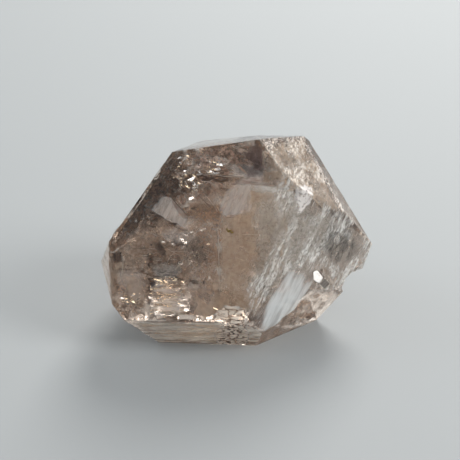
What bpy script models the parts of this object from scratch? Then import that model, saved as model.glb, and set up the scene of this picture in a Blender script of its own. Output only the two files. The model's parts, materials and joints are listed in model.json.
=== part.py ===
"""Smoky quartz crystal: one stout, doubly ended crystal lying on a flat of its own.

The crystal is cut from a block, one plane for each crystal face.  Growth ledges, grooves,
an etched skin, an edge chip and a few lumps are then fused into the same closed solid.
Run with: blender --background --python part.py
"""
import math

import bmesh
import bpy
from mathutils import Matrix, Vector

MM = 0.001

# ---------------------------------------------------------------- driving sizes
BLOCK_SIDE = 90 * MM  # the rough block that the faces are cut from
CENTRE_PLACE = (-1.55, -1.13, 20.0)  # point that face distances are measured from, in mm
SOFT_EDGE_RADIUS = 20 * MM  # the front and right faces meet in a wide, worn round
SOFT_EDGE_CUTS = 3          # flats that make up that round

# Each crystal face: the way it looks (degrees round from the front, + to the right),
# its tilt up from level (degrees) and its distance from the centre (millimetres).
FACES = {
    "front": (-4, 20, 13.9),
    "top": (-158, 67, 20.5),
    "top_right": (-178, 68, 21.5),
    "shoulder": (54, 41, 23.3),
    "right_back": (81, 36, 25.7),
    "left": (-66, 7, 29.0),
    "left_back": (-116, 28, 18.2),
    "left_under": (-105, -41, 21.8),
    "foot": (-3, -18, 22.0),
    "right": (23, 10, 16.6),
    "right_foot": (35, -23, 23.7),
    "right_under": (132, -28, 18.5),
    "back_right": (127, 16, 21.5),
    "back": (165, 40, 19.7),
    "rear": (176, 10, 19.0),
    "back_left": (-128, 2, 22.0),
    "under_back": (172, -38, 20.0),
    "base": (0, -90, 20.0),
}

# Edge chip under the right face: its corner on that face, and the two walls it broke along.
CHIP_CORNER = (10.9, -11.4)
CHIP_LEFT_WALL = (38, -12)
CHIP_RIGHT_WALL = (17, -21)

# Bite under the nose at the right end: a spoon-shaped break, placed from the centre.
NOSE_BITE_PLACE = (30.2, -6.0, -10.9)
NOSE_BITE_RADII = (5.6, 7.5, 4.2)
NOSE_BITE_LEAN = 35

# Ledges: face, place on it (across, up), spin in degrees, length, drop, run to nothing.
# A ledge is deepest at its right-hand end, and its step dies out at the other.
FRONT_LEDGES = (
    ("front", 11.9, 11.7, 8, 9.0, 0.55, 8.0),
)
BACK_LEDGES = (
    ("rear", 4.0, 6.0, 6, 34.0, 0.50, 8.0),
    ("rear", 2.0, -3.5, -5, 30.0, 0.40, 6.0),
    ("back", 3.0, -2.0, 9, 34.0, 0.45, 7.0),
    ("left_back", 3.0, 2.0, 112, 30.0, 0.45, 7.0),
    ("left_back", -4.0, 1.0, 112, 28.0, 0.35, 5.0),
    ("back_right", -2.0, 2.0, -52, 34.0, 0.45, 7.0),
    ("back_left", 4.0, 0.0, 4, 30.0, 0.40, 5.0),
    ("top", 2.0, 4.0, 24, 34.0, 0.30, 5.0),
    ("right_under", 0.0, -2.0, 20, 30.0, 0.50, 6.0),
)

# Growth lines on the foot face: even ledges, one under the other.
FOOT_LINES = 6
FOOT_LINE_STEP = 1.45
FOOT_LINE_TOP = (-14.8, -5.6)
FOOT_LINE_LENGTH = 24.0
FOOT_LINE_DROP = 0.28

# Overlapping scales: the top row's place on each face, the number of rows and their drop.
SCALE_PATCHES = (
    ("front", (1.9, -13.6), 3, 0.30),
    ("foot", (1.2, -5.8), 4, 0.50),
)
SCALE_ROW_STEP = 1.6
SCALE_LENGTH = 6.6

# Slanting cuts beside the soft edge.
SLANT_CUTS = 5
SLANT_STEP = 0.85
SLANT_START = (-2.2, -8.6)
SLANT_ANGLE = 52
SLANT_LENGTH = 5.0
SLANT_WIDTH = 0.42

# Etched skins: face, middle of the patch, half width and half height, cell size, streak angle.
RIGHT_SKIN = ("right", (11.5, 1.0), (14.5, 13.5), 0.8, 52)
SHOULDER_SKIN = ("shoulder", (3.8, 2.0), (9.0, 10.0), 0.8, 20)
SKIN_DEPTH = 0.22
SKIN_HEIGHT = 3.0

# Lumps: face, place on it (across, up), radius, stretch, spin, and their common shape.
LUMPS = (
    ("right", 22.6, -6.2, 1.7, 1.5, 40),
    ("right", 20.0, -9.2, 1.7, 1.7, 15),
    ("right", 17.0, -8.4, 1.5, 1.6, 60),
    ("right", 24.0, -2.6, 1.3, 1.6, 75),
    ("right", 19.6, 4.2, 1.7, 1.9, 70),
    ("right", 14.2, -10.4, 1.3, 1.6, 25),
    ("shoulder", 2.4, 0.4, 1.7, 1.8, 84),
    ("shoulder", 7.0, -3.2, 1.8, 1.7, 60),
    ("right_foot", 13.0, 2.0, 1.7, 1.6, 30),
    ("right_back", 2.6, -11.0, 1.0, 1.8, 70),
)
LUMP_FLATNESS = 0.55
LUMP_HEIGHT = 0.32

SMOKY = (0.42, 0.33, 0.27, 1.0)
CENTRE = Vector(CENTRE_PLACE) * MM


def facing(azimuth, tilt):
    """Unit vector for a bearing from the front (degrees) and a tilt up from level."""
    a = math.radians(azimuth)
    t = math.radians(tilt)
    return Vector((math.sin(a) * math.cos(t), -math.cos(a) * math.cos(t), math.sin(t)))


def face_plane(name):
    """A point on the named face and the way that face looks."""
    azimuth, tilt, distance = FACES[name]
    normal = facing(azimuth, tilt)
    return CENTRE + normal * distance * MM, normal


def on_face(name, across, up, spin=0.0):
    """Frame on a face: X runs level across it, Y up its slope, Z out of the crystal."""
    point, normal = face_plane(name)
    azimuth = math.radians(FACES[name][0])
    level = Vector((math.cos(azimuth), math.sin(azimuth), 0.0))
    slope = normal.cross(level)
    axes = Matrix((level, slope, normal)).transposed().to_4x4()
    place = point + level * across * MM + slope * up * MM
    return Matrix.Translation(place) @ axes @ Matrix.Rotation(math.radians(spin), 4, "Z")


def slice_off(mesh, point, normal, keep_outside=False):
    """Cut a closed convex mesh by a plane, drop one side and close the cut."""
    geometry = mesh.verts[:] + mesh.edges[:] + mesh.faces[:]
    cut = bmesh.ops.bisect_plane(mesh, geom=geometry, plane_co=point, plane_no=normal,
                                 clear_outer=not keep_outside, clear_inner=keep_outside)
    rim = [item for item in cut["geom_cut"] if isinstance(item, bmesh.types.BMEdge)]
    if rim:
        bmesh.ops.contextual_create(mesh, geom=rim)


def soft_edge_planes(first, second):
    """Planes tangent to a round that joins two faces, as points and directions."""
    first_point, first_normal = face_plane(first)
    second_point, second_normal = face_plane(second)
    along = first_normal.cross(second_normal).normalized()
    turn = first_normal.angle(second_normal)
    towards = along.cross(first_normal)
    rise = (second_point - first_point).dot(second_normal) / towards.dot(second_normal)
    corner = first_point + towards * rise
    planes = []
    for step in range(1, SOFT_EDGE_CUTS + 1):
        angle = turn * step / (SOFT_EDGE_CUTS + 1)
        normal = Matrix.Rotation(angle, 3, along) @ first_normal
        depth = SOFT_EDGE_RADIUS * (math.cos(angle - turn / 2) / math.cos(turn / 2) - 1)
        planes.append((corner - normal * depth, normal))
    return planes


def mesh_object(name, mesh, collection):
    """Turn a bmesh into an object with outward faces, in a collection."""
    bmesh.ops.recalc_face_normals(mesh, faces=mesh.faces[:])
    data = bpy.data.meshes.new(name)
    mesh.to_mesh(data)
    mesh.free()
    item = bpy.data.objects.new(name, data)
    collection.objects.link(item)
    return item


def cutter_object(name, mesh, collection):
    """An object used only to shape the crystal, kept out of renders."""
    item = mesh_object(name, mesh, collection)
    item.hide_render = True
    item.display_type = "WIRE"
    return item


def boolean(item, tool, operation):
    """Add an exact Boolean that carves or fuses the tool object."""
    step = item.modifiers.new(tool.name, "BOOLEAN")
    step.operation = operation
    step.solver = "EXACT"
    step.use_self = True
    step.object = tool


def rough_block():
    mesh = bmesh.new()
    bmesh.ops.create_cube(mesh, size=BLOCK_SIDE, matrix=Matrix.Translation(CENTRE))
    return mesh


def crystal_block():
    """The block cut down to the crystal's faces and its one soft edge."""
    mesh = rough_block()
    for name in FACES:
        slice_off(mesh, *face_plane(name))
    for point, normal in soft_edge_planes("front", "right"):
        slice_off(mesh, point, normal)
    return mesh


def add_ledge(mesh, face, across, up, spin, length, drop, run, lean=1.0):
    """A long box tipped so that it cuts a step that runs out to nothing below it.

    The lean tips it endways too: a step of lean 1 also dies out at its left end, and one
    of lean -1 at its right end.
    """
    reach = 1.5 * run * MM
    height = 3.0 * MM
    tip = Matrix.Rotation(-math.atan2(drop, run), 4, "X")
    tilt = Matrix.Rotation(math.atan2(lean * drop, length), 4, "Y")
    sink = Matrix.Translation((0.0, 0.0, (0.5 * abs(lean) - 1.0) * drop * MM))
    shift = Matrix.Translation((0.0, -reach / 2, height / 2))
    size = Matrix.Diagonal((length * MM, reach, height, 1.0))
    place = on_face(face, across, up, spin) @ sink @ tilt @ tip @ shift @ size
    bmesh.ops.create_cube(mesh, size=1.0, matrix=place)


def ledges_cutter(name, rows, collection):
    mesh = bmesh.new()
    for row in rows:
        add_ledge(mesh, *row)
    return cutter_object(name, mesh, collection)


def foot_rows():
    """Even growth lines down the foot face, each turned a touch from the last."""
    across, top = FOOT_LINE_TOP
    run = 0.9 * FOOT_LINE_STEP
    for row in range(FOOT_LINES):
        up = top - FOOT_LINE_STEP * row
        spin = 0.8 * math.sin(2.3 * row)
        yield "foot", across, up, spin, FOOT_LINE_LENGTH, FOOT_LINE_DROP, run, -1.0


def scale_rows():
    """Overlapping scales, shifted and turned from row to row."""
    run = 1.1 * SCALE_ROW_STEP
    for face, (middle, top), rows, drop in SCALE_PATCHES:
        for row in range(rows):
            across = middle + 0.9 * math.sin(1.9 * row)
            up = top - SCALE_ROW_STEP * row
            spin = 11.0 * math.cos(2.1 * row)
            yield face, across, up, spin, SCALE_LENGTH, drop, run, 0.4


def slant_cutter(collection):
    """Short V grooves side by side: square bars laid on one edge."""
    mesh = bmesh.new()
    for number in range(SLANT_CUTS):
        across = SLANT_START[0] + SLANT_STEP * number
        up = SLANT_START[1] + 0.35 * SLANT_STEP * number
        length = SLANT_LENGTH * (1.0 - 0.12 * abs(number - 2))
        place = on_face("right", across, up, SLANT_ANGLE) @ Matrix.Translation((0, 0, -0.6 * MM))
        roll = Matrix.Rotation(math.radians(45), 4, "X")
        size = Matrix.Diagonal((length * MM, SLANT_WIDTH * MM, SLANT_WIDTH * MM, 1.0))
        bmesh.ops.create_cube(mesh, size=1.0, matrix=place @ roll @ size)
    return cutter_object("cut_slant_grooves", mesh, collection)


def skin_depth(across, up, half, angle):
    """Etched depth in mm at a place on a patch: wavy streaks that fade out at its rim."""
    turn = math.radians(angle)
    along = across * math.cos(turn) + up * math.sin(turn)
    over = up * math.cos(turn) - across * math.sin(turn)
    wave = math.sin(2.0 * over + 1.3 * math.sin(0.55 * along + 0.4))
    ripple = math.sin(3.3 * over - 1.1 * along + 1.7 * math.sin(0.9 * over))
    swell = math.sin(0.42 * along + 0.31 * over + 1.0)
    rim = (across / half[0]) ** 4 + (up / half[1]) ** 4
    return SKIN_DEPTH * (0.7 * wave + 0.55 * ripple + 0.5 * swell - 0.9 + 2.4 * rim)


def skin_cutter(name, patch, collection):
    """A slab over a face whose underside is the etched relief to be left behind."""
    face, middle, half, cell, angle = patch
    columns = round(2 * half[0] / cell)
    rows = round(2 * half[1] / cell)
    mesh = bmesh.new()
    bmesh.ops.create_grid(mesh, x_segments=columns, y_segments=rows, size=1.0)
    for vert in mesh.verts:
        across = vert.co.x * half[0]
        up = vert.co.y * half[1]
        depth = skin_depth(across, up, half, angle)
        vert.co = Vector((across, up, depth)) * MM
    lifted = bmesh.ops.extrude_face_region(mesh, geom=mesh.faces[:])
    for item in lifted["geom"]:
        if isinstance(item, bmesh.types.BMVert):
            item.co.z = SKIN_HEIGHT * MM
    mesh.transform(on_face(face, *middle))
    return cutter_object(name, mesh, collection)


def chip_cutter(collection):
    """The block outside both broken walls, which is the piece that came away."""
    corner = on_face("right", *CHIP_CORNER).translation
    mesh = rough_block()
    slice_off(mesh, corner, facing(*CHIP_LEFT_WALL), keep_outside=True)
    slice_off(mesh, corner, facing(*CHIP_RIGHT_WALL), keep_outside=True)
    return cutter_object("cut_edge_chip", mesh, collection)


def nose_bite_cutter(collection):
    mesh = bmesh.new()
    place = Matrix.Translation(CENTRE + Vector(NOSE_BITE_PLACE) * MM)
    lean = Matrix.Rotation(math.radians(NOSE_BITE_LEAN), 4, "Y")
    size = Matrix.Diagonal((*(Vector(NOSE_BITE_RADII) * MM), 1.0))
    bmesh.ops.create_icosphere(mesh, subdivisions=3, radius=1.0, matrix=place @ lean @ size)
    return cutter_object("cut_nose_bite", mesh, collection)


def lumps_tool(collection):
    """Low rounded lumps, each mostly sunk in its face."""
    mesh = bmesh.new()
    for face, across, up, radius, stretch, spin in LUMPS:
        rise = radius * LUMP_FLATNESS
        sink = Matrix.Translation((0, 0, (LUMP_HEIGHT - rise) * MM))
        size = Matrix.Diagonal((radius * stretch * MM, radius * MM, rise * MM, 1.0))
        place = on_face(face, across, up, spin) @ sink @ size
        bmesh.ops.create_icosphere(mesh, subdivisions=2, radius=1.0, matrix=place)
    return cutter_object("add_lumps", mesh, collection)


def smoky_glass():
    """Clear brown quartz."""
    material = bpy.data.materials.new("smoky_quartz")
    material.use_nodes = True
    shader = material.node_tree.nodes["Principled BSDF"]
    shader.inputs["Base Color"].default_value = SMOKY
    shader.inputs["Roughness"].default_value = 0.04
    shader.inputs["Metallic"].default_value = 0.0
    shader.inputs["IOR"].default_value = 1.544
    shader.inputs["Transmission Weight"].default_value = 0.9
    return material


def build():
    for item in list(bpy.data.objects):
        bpy.data.objects.remove(item, do_unlink=True)
    root = bpy.context.scene.collection
    parts = bpy.data.collections.new("smoky_quartz")
    cutters = bpy.data.collections.new("cutters")
    root.children.link(parts)
    root.children.link(cutters)

    crystal = mesh_object("smoky_quartz_crystal", crystal_block(), parts)
    crystal.data.materials.append(smoky_glass())

    boolean(crystal, skin_cutter("cut_right_skin", RIGHT_SKIN, cutters), "DIFFERENCE")
    boolean(crystal, skin_cutter("cut_shoulder_skin", SHOULDER_SKIN, cutters), "DIFFERENCE")
    boolean(crystal, lumps_tool(cutters), "UNION")
    boolean(crystal, chip_cutter(cutters), "DIFFERENCE")
    boolean(crystal, nose_bite_cutter(cutters), "DIFFERENCE")
    boolean(crystal, ledges_cutter("cut_foot_lines", foot_rows(), cutters), "DIFFERENCE")
    boolean(crystal, ledges_cutter("cut_scales", scale_rows(), cutters), "DIFFERENCE")
    boolean(crystal, slant_cutter(cutters), "DIFFERENCE")
    boolean(crystal, ledges_cutter("cut_front_ledges", FRONT_LEDGES, cutters), "DIFFERENCE")
    boolean(crystal, ledges_cutter("cut_back_ledges", BACK_LEDGES, cutters), "DIFFERENCE")
    print("crystal:", len(crystal.modifiers), "shaping steps")


build()
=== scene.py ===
# %% [markdown]
# # A smoky quartz crystal, inside and out
#
# A smoky quartz is clear brown glass with a history: flat growth faces, an etched and
# frosted end, healed cracks, thin air films and dust that was caught while it grew. What
# is seen of it is mostly light that went *through* it, so this lesson builds the stone as
# light sees it: an exact outer skin first, then everything inside.
#
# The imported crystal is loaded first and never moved. Each new piece is placed in the same
# frame, in metres. All the shape work is done with numpy in millimetres.

# %% Load the crystal and note its box
import json
import math

import bpy
import numpy as np
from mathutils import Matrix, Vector
from mathutils.geometry import delaunay_2d_cdt

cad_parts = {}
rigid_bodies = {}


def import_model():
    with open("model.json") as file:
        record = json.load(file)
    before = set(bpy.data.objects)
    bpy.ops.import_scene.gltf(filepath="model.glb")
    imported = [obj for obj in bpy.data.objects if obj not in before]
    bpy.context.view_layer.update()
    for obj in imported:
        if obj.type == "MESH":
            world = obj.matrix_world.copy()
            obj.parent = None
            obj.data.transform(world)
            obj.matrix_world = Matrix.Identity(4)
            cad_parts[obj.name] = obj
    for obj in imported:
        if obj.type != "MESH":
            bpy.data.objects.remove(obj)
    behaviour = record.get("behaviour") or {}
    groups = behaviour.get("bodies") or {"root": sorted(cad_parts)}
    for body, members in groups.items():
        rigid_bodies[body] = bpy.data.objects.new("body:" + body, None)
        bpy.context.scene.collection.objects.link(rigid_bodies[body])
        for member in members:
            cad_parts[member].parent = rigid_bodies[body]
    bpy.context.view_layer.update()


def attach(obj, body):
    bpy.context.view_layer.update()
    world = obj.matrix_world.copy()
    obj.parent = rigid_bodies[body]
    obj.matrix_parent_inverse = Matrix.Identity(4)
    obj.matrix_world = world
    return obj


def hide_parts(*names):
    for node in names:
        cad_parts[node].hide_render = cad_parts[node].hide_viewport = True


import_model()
NODE = "smoky_quartz_crystal"
MM = 0.001

# %% [markdown]
# ## The camera
#
# A still life of a stone is taken from a hand's height above the table with a long lens,
# which keeps the parallel edges nearly parallel. The camera is placed by what it looks at,
# a distance and an angle, because those three are easy to set.

# %% Aim the camera
AIM = Vector((-1.55, -1.13, 20.0)) * MM
CAMERA_RISE = math.radians(30.0)
CAMERA_DISTANCE = 250.0 * MM
CAMERA_LENS = 85.83
CAMERA_NEAR = 0.01


def look_from(item, place, aim):
    """Put an object at a place and turn its -Z to the aim."""
    item.location = place
    item.rotation_euler = (Vector(place) - Vector(aim)).to_track_quat("Z", "Y").to_euler()
    bpy.context.scene.collection.objects.link(item)
    return item


camera_data = bpy.data.cameras.new("camera")
camera_data.lens = CAMERA_LENS
camera_data.clip_start = CAMERA_NEAR
back = Vector((0.0, -math.cos(CAMERA_RISE), math.sin(CAMERA_RISE)))
camera = look_from(bpy.data.objects.new("camera", camera_data), AIM + back * CAMERA_DISTANCE, AIM)
bpy.context.scene.camera = camera
print("camera at", [round(v, 4) for v in camera.location])

# %% [markdown]
# ## The floor
#
# Clear stone shows what lies under and behind it, so the floor is part of its colour. One
# wide plain square is enough. It lies a hair below the crystal's base, so that the two are
# never one surface, which would flicker black in a render.

# %% Make a pale floor
FLOOR_HALF = 3.0
FLOOR_DROP = 0.00004
FLOOR_COLOUR = (0.35, 0.365, 0.37, 1.0)
FLOOR_ROUGHNESS = 0.75


def shader_of(material):
    """The Principled shader that a new material starts with."""
    material.use_nodes = True
    return material.node_tree.nodes["Principled BSDF"]


floor_mesh = bpy.data.meshes.new("floor")
half = FLOOR_HALF
floor_corners = [(x, y, -FLOOR_DROP) for x, y in ((-half, -half), (half, -half), (half, half), (-half, half))]
floor_mesh.from_pydata(floor_corners, [], [(0, 1, 2, 3)])
floor = bpy.data.objects.new("floor", floor_mesh)
bpy.context.scene.collection.objects.link(floor)
floor_paint = bpy.data.materials.new("pale_floor")
floor_shader = shader_of(floor_paint)
floor_shader.inputs["Base Color"].default_value = FLOOR_COLOUR
floor_shader.inputs["Roughness"].default_value = FLOOR_ROUGHNESS
floor_mesh.materials.append(floor_paint)
print("floor:", 2 * FLOOR_HALF, "m wide")

# %% [markdown]
# ## Lamps
#
# Clear stones are lit from behind: the light enters at the back, is turned inside and
# leaves through the front, while the room in front of them stays dimmer, so that the front
# faces read as dark glass. A broad soft box behind and above does that. A cool one on the
# left and a strong one on the right draw the frosted faces.

# %% Light it from behind
LIGHTS = {  # name: place, side, power in watts, colour
    "back_softbox": ((0.16, 0.50, 0.50), 0.36, 4.4, (1.0, 0.985, 0.96)),
    "left_sky": ((-0.70, 0.15, 0.50), 0.45, 1.1, (0.86, 0.95, 1.0)),
    "right_window": ((0.62, -0.12, 0.42), 0.40, 3.2, (1.0, 0.99, 0.98)),
}
LIGHT_AIM = (0.0, 0.0, 0.02)

for name, (place, side, power, colour) in LIGHTS.items():
    lamp = bpy.data.lights.new(name, "AREA")
    lamp.shape = "DISK"
    lamp.size, lamp.energy, lamp.color = side, power, colour
    look_from(bpy.data.objects.new(name, lamp), place, LIGHT_AIM)
print("lights:", list(LIGHTS))

# %% [markdown]
# ## The room
#
# A world that is bright at the back and dim at the front fills in the rest. Light is bent
# many times before it is out of a stone full of cracks, so it is followed through many
# bounces, and through even more see-through sheets.

# %% Fill in from the room
ROOM_FRONT, ROOM_BACK = (0.40, 0.41, 0.42, 1.0), (0.80, 0.82, 0.83, 1.0)
ROOM_TURN = (-0.9, 0.7)  # where along Y the dim front gives way to the bright back
ROOM_POWER = 0.85

world = bpy.data.worlds.new("studio")
world.use_nodes = True
bpy.context.scene.world = world
wires = world.node_tree
sky = wires.nodes["Background"]
where = wires.nodes.new("ShaderNodeTexCoord")
split = wires.nodes.new("ShaderNodeSeparateXYZ")
ramp = wires.nodes.new("ShaderNodeMapRange")
shade = wires.nodes.new("ShaderNodeMix")
shade.data_type = "RGBA"
wires.links.new(where.outputs["Generated"], split.inputs[0])
wires.links.new(split.outputs["Y"], ramp.inputs["Value"])
ramp.inputs["From Min"].default_value, ramp.inputs["From Max"].default_value = ROOM_TURN
ramp.interpolation_type = "SMOOTHSTEP"
wires.links.new(ramp.outputs["Result"], shade.inputs["Factor"])
shade.inputs["A"].default_value = ROOM_FRONT
shade.inputs["B"].default_value = ROOM_BACK
wires.links.new(shade.outputs["Result"], sky.inputs["Color"])
sky.inputs["Strength"].default_value = ROOM_POWER
bpy.context.scene.view_settings.view_transform = "Standard"
cycles = bpy.context.scene.cycles
cycles.max_bounces = 24
cycles.transmission_bounces = 24
cycles.diffuse_bounces = 6
cycles.glossy_bounces = 10
cycles.transparent_max_bounces = 64
print("bounces:", cycles.max_bounces)

# %% [markdown]
# ## The crystal's faces
#
# Quartz grows as flat faces, so the stone is a list of planes: the way each face looks and
# how far it lies from one middle point. The front and right faces meet in a worn round,
# which is a fan of narrow flats. Each flat touches one round bar that lies in the corner.

# %% List the planes
CENTRE = np.array((-1.55, -1.13, 20.0))
FACES = {  # bearing from the front, tilt up from level (degrees), distance (mm)
    "front": (-4, 20, 13.9),
    "top": (-158, 67, 20.5),
    "top_right": (-178, 68, 21.5),
    "shoulder": (54, 41, 23.3),
    "right_back": (81, 36, 25.7),
    "left": (-66, 7, 29.0),
    "left_back": (-116, 28, 18.2),
    "left_under": (-105, -41, 21.8),
    "foot": (-3, -18, 22.0),
    "right": (23, 10, 16.6),
    "right_foot": (35, -23, 23.7),
    "right_under": (132, -28, 18.5),
    "back_right": (127, 16, 21.5),
    "back": (165, 40, 19.7),
    "rear": (176, 10, 19.0),
    "back_left": (-128, 2, 22.0),
    "under_back": (172, -38, 20.0),
    "base": (0, -90, 20.0),
}
ROUND_RADIUS = 20.0
ROUND_FLATS = 9
TINY, NEAR_ZERO = 1e-6, 1e-9


def facing(bearing, tilt):
    """Unit vector: sine and minus cosine of the bearing, drawn in by the tilt's cosine."""
    a, t = math.radians(bearing), math.radians(tilt)
    return np.array((math.sin(a) * math.cos(t), -math.cos(a) * math.cos(t), math.sin(t)))


def axes_of(normal):
    """A level direction and an up-slope direction that make a right-handed frame."""
    flat = math.hypot(normal[0], normal[1])
    level = np.array((1.0, 0.0, 0.0))
    if flat > TINY:
        level = np.array((-normal[1], normal[0], 0)) / flat
    return level, np.cross(normal, level)


def on_face(name, across, up, depth=0.0):
    """Points under a face: its foot point, plus level and up-slope steps, less the depth."""
    normal, reach = PLANES[name]
    level, slope = axes_of(normal)
    steps = [np.asarray(v, float)[..., None] for v in (across, up, depth)]
    return CENTRE + normal * (reach - steps[2]) + level * steps[0] + slope * steps[1]


PLANES = {name: (facing(b, t), reach) for name, (b, t, reach) in FACES.items()}
first, second = PLANES["front"], PLANES["right"]
fold = np.cross(first[0], second[0])
fold /= np.linalg.norm(fold)
turn = math.acos(first[0] @ second[0])
towards = np.cross(fold, first[0])
missing = second[1] - first[1] * (first[0] @ second[0])
corner = first[0] * first[1] + towards * missing / (towards @ second[0])
for step in range(1, ROUND_FLATS + 1):
    angle = turn * step / (ROUND_FLATS + 1)
    normal = first[0] * math.cos(angle) + towards * math.sin(angle)
    depth = ROUND_RADIUS * (math.cos(angle - turn / 2) / math.cos(turn / 2) - 1)
    PLANES[f"round_{step}"] = (normal, corner @ normal - depth)
SOFT = {"front", "right"} | {name for name in PLANES if name.startswith("round")}
print("planes:", len(PLANES), "of them in the soft front:", len(SOFT))

# %% [markdown]
# ## The outline of each face
#
# Each face's outline is what is left of a big square after all the other planes have cut
# it. Blender's Bisect tool cuts a mesh in the same way, but the cut is also needed as
# plain numbers: which face lies across each side decides whether an edge stays sharp.

# %% Cut the outlines
SQUARE_HALF = 80  # of the square that each outline starts from, in mm


def outline_of(name):
    """Corners of a face, and the neighbour across each side: a square cut by every plane."""
    normal, reach = PLANES[name]
    level, slope = axes_of(normal)
    points = [CENTRE + normal * reach + SQUARE_HALF * (a * level + b * slope)
              for a, b in ((-1, -1), (1, -1), (1, 1), (-1, 1))]
    beside = [None] * 4
    for other, (cut, far) in PLANES.items():
        if other == name:
            continue
        over = [(p - CENTRE) @ cut - far for p in points]
        kept, sides = [], []
        for i, p in enumerate(points):
            j = (i + 1) % len(points)
            if over[i] <= 0:
                kept.append(p)
                sides.append(beside[i])
            if (over[i] <= 0) != (over[j] <= 0):
                share = over[i] / (over[i] - over[j])
                kept.append(p + (points[j] - p) * share)
                sides.append(other if over[i] <= 0 else beside[i])
        points, beside = kept, sides
        if not points:
            break
    return np.array(points), beside


OUTLINES = {name: outline_of(name) for name in PLANES}
print("faces kept:", sum(len(c) > 2 for c, _ in OUTLINES.values()), "of", len(PLANES))

# %% [markdown]
# ## A fine net over the faces
#
# A face with etched relief needs many small triangles, and an edge needs to stay dead
# straight. Blender's Remesh could make both from the CAD solid, but it softens edges.
# Instead each outline gets evenly spaced points along its sides and a triangular grid
# inside, and Delaunay joins them. Neighbours share the points along a side, so that the
# faces weld into one closed skin.

# %% Weave a net over one face
SIDE_STEP = 0.34
NET_STEP = {"front": 0.36, "right": 0.27, "shoulder": 0.30, "foot": 0.36, "right_foot": 0.36,
            "top": 0.45, "top_right": 0.45, "right_back": 0.5, "left": 0.5}
SOFT_STEP, PLAIN_STEP = 0.33, 0.62
SIDE_GAP = 0.6  # grid points nearer to a side than this share of a side's step are left out
SAME_POINT = 1e-7
FAR = 1e3


def net_over(name):
    """Triangles on one face, with each point's place on it and its distance to a hard side."""
    corners, beside = OUTLINES[name]
    normal, reach = PLANES[name]
    level, slope = axes_of(normal)
    foot = CENTRE + normal * reach
    flat = np.stack(((corners - foot) @ level, (corners - foot) @ slope), 1)
    after = np.roll(flat, -1, 0)
    run = after - flat
    length = np.linalg.norm(run, axis=1)
    rim = [a + r * np.arange(n)[:, None] / n
           for a, r, n in zip(flat, run, np.maximum(1, np.ceil(length / SIDE_STEP)).astype(int))]
    rim = np.concatenate(rim)
    step = NET_STEP.get(name, SOFT_STEP if name in SOFT else PLAIN_STEP)
    low, high = flat.min(0), flat.max(0)
    columns = np.arange(low[0], high[0], step)
    rows = np.arange(low[1], high[1], step * math.sqrt(0.75))
    grid = np.stack(np.meshgrid(columns, rows), -1)
    grid[1::2, :, 0] += step / 2
    grid = grid.reshape(-1, 2)

    def to_sides(points):
        """Distance to each side: the cross product with the side, over its length."""
        rel = points[:, None] - flat[None]
        return (rel[..., 1] * run[:, 0] - rel[..., 0] * run[:, 1]) / np.maximum(length, NEAR_ZERO)

    grid = grid[(to_sides(grid) > SIDE_GAP * SIDE_STEP).all(1)]
    loop = list(range(len(rim)))
    points = [tuple(p) for p in np.concatenate((rim, grid))]
    flat_points, _, triangles, *_ = delaunay_2d_cdt(points, [], [loop], 1, SAME_POINT)
    flat_points = np.array([tuple(p) for p in flat_points])
    hard = np.array([name not in SOFT or other not in SOFT for other in beside])
    edge = np.where(hard, to_sides(flat_points), FAR).min(1)
    places = foot + level * flat_points[:, :1] + slope * flat_points[:, 1:]
    return places, np.array(triangles), edge


print("net on the front face:", len(net_over("front")[1]), "triangles")

# %% [markdown]
# ## One closed skin
#
# The nets are joined where they touch: points that share a place become one. Each point of
# the skin also gets the way that it faces, which is the mean of its faces' directions, and
# its distance to the nearest hard edge, which tells the later steps where to hold back.

# %% Weld the nets
WELD_GRAIN = 1e-4


def weld(places, grain):
    """Number points that share a place alike: round to a grain and keep one of each."""
    _, keep, number = np.unique(np.round(places / grain).astype(np.int64), axis=0,
                                return_index=True, return_inverse=True)
    return keep, number.reshape(-1)


def proper(tris):
    """True for each triangle that has three different corners."""
    return (tris[:, 0] != tris[:, 1]) & (tris[:, 1] != tris[:, 2]) & (tris[:, 0] != tris[:, 2])


face_names = list(PLANES)
places, triangles, rims, owner = [], [], [], []
start = 0
for index, name in enumerate(face_names):
    spots, tris, edge = net_over(name)
    places.append(spots)
    triangles.append(tris + start)
    rims.append(edge)
    owner.append(np.full(len(tris), index))
    start += len(spots)
places, triangles = np.concatenate(places), np.concatenate(triangles)
rims, owner = np.concatenate(rims), np.concatenate(owner)
keep, number = weld(places, WELD_GRAIN)
skin = places[keep]
rim = np.full(len(keep), FAR)
np.minimum.at(rim, number, rims)
rim = np.maximum(rim, 0.0)
triangles = number[triangles]
whole = proper(triangles)
triangles, owner = triangles[whole], owner[whole]
normals = np.array([PLANES[name][0] for name in face_names])
outward = np.zeros_like(skin)
for k in range(3):
    np.add.at(outward, triangles[:, k], normals[owner])
outward /= np.linalg.norm(outward, axis=1, keepdims=True)
print("net:", len(skin), "points,", len(triangles), "triangles")

# %% [markdown]
# ## Noise that a maker can steer
#
# Etching, growth and cracks are irregular but not random: each has a grain size and a
# direction. Three fields cover them all. A cloud is smooth noise with one grain size. A
# terrace turns any slope into flat steps. Cells measure how near the closest of a set of
# scattered seeds is, which gives scales and chips.

# %% Clouds, terraces and cells
LATTICE_SHIFT = 1000.0  # keeps the lattice cells above zero
MIXING_FACTORS = 73856093, 19349663, 83492791, 1274126177
SEED_FACTOR, LOW_BITS = 2654435761, 0xFFFFFF


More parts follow.
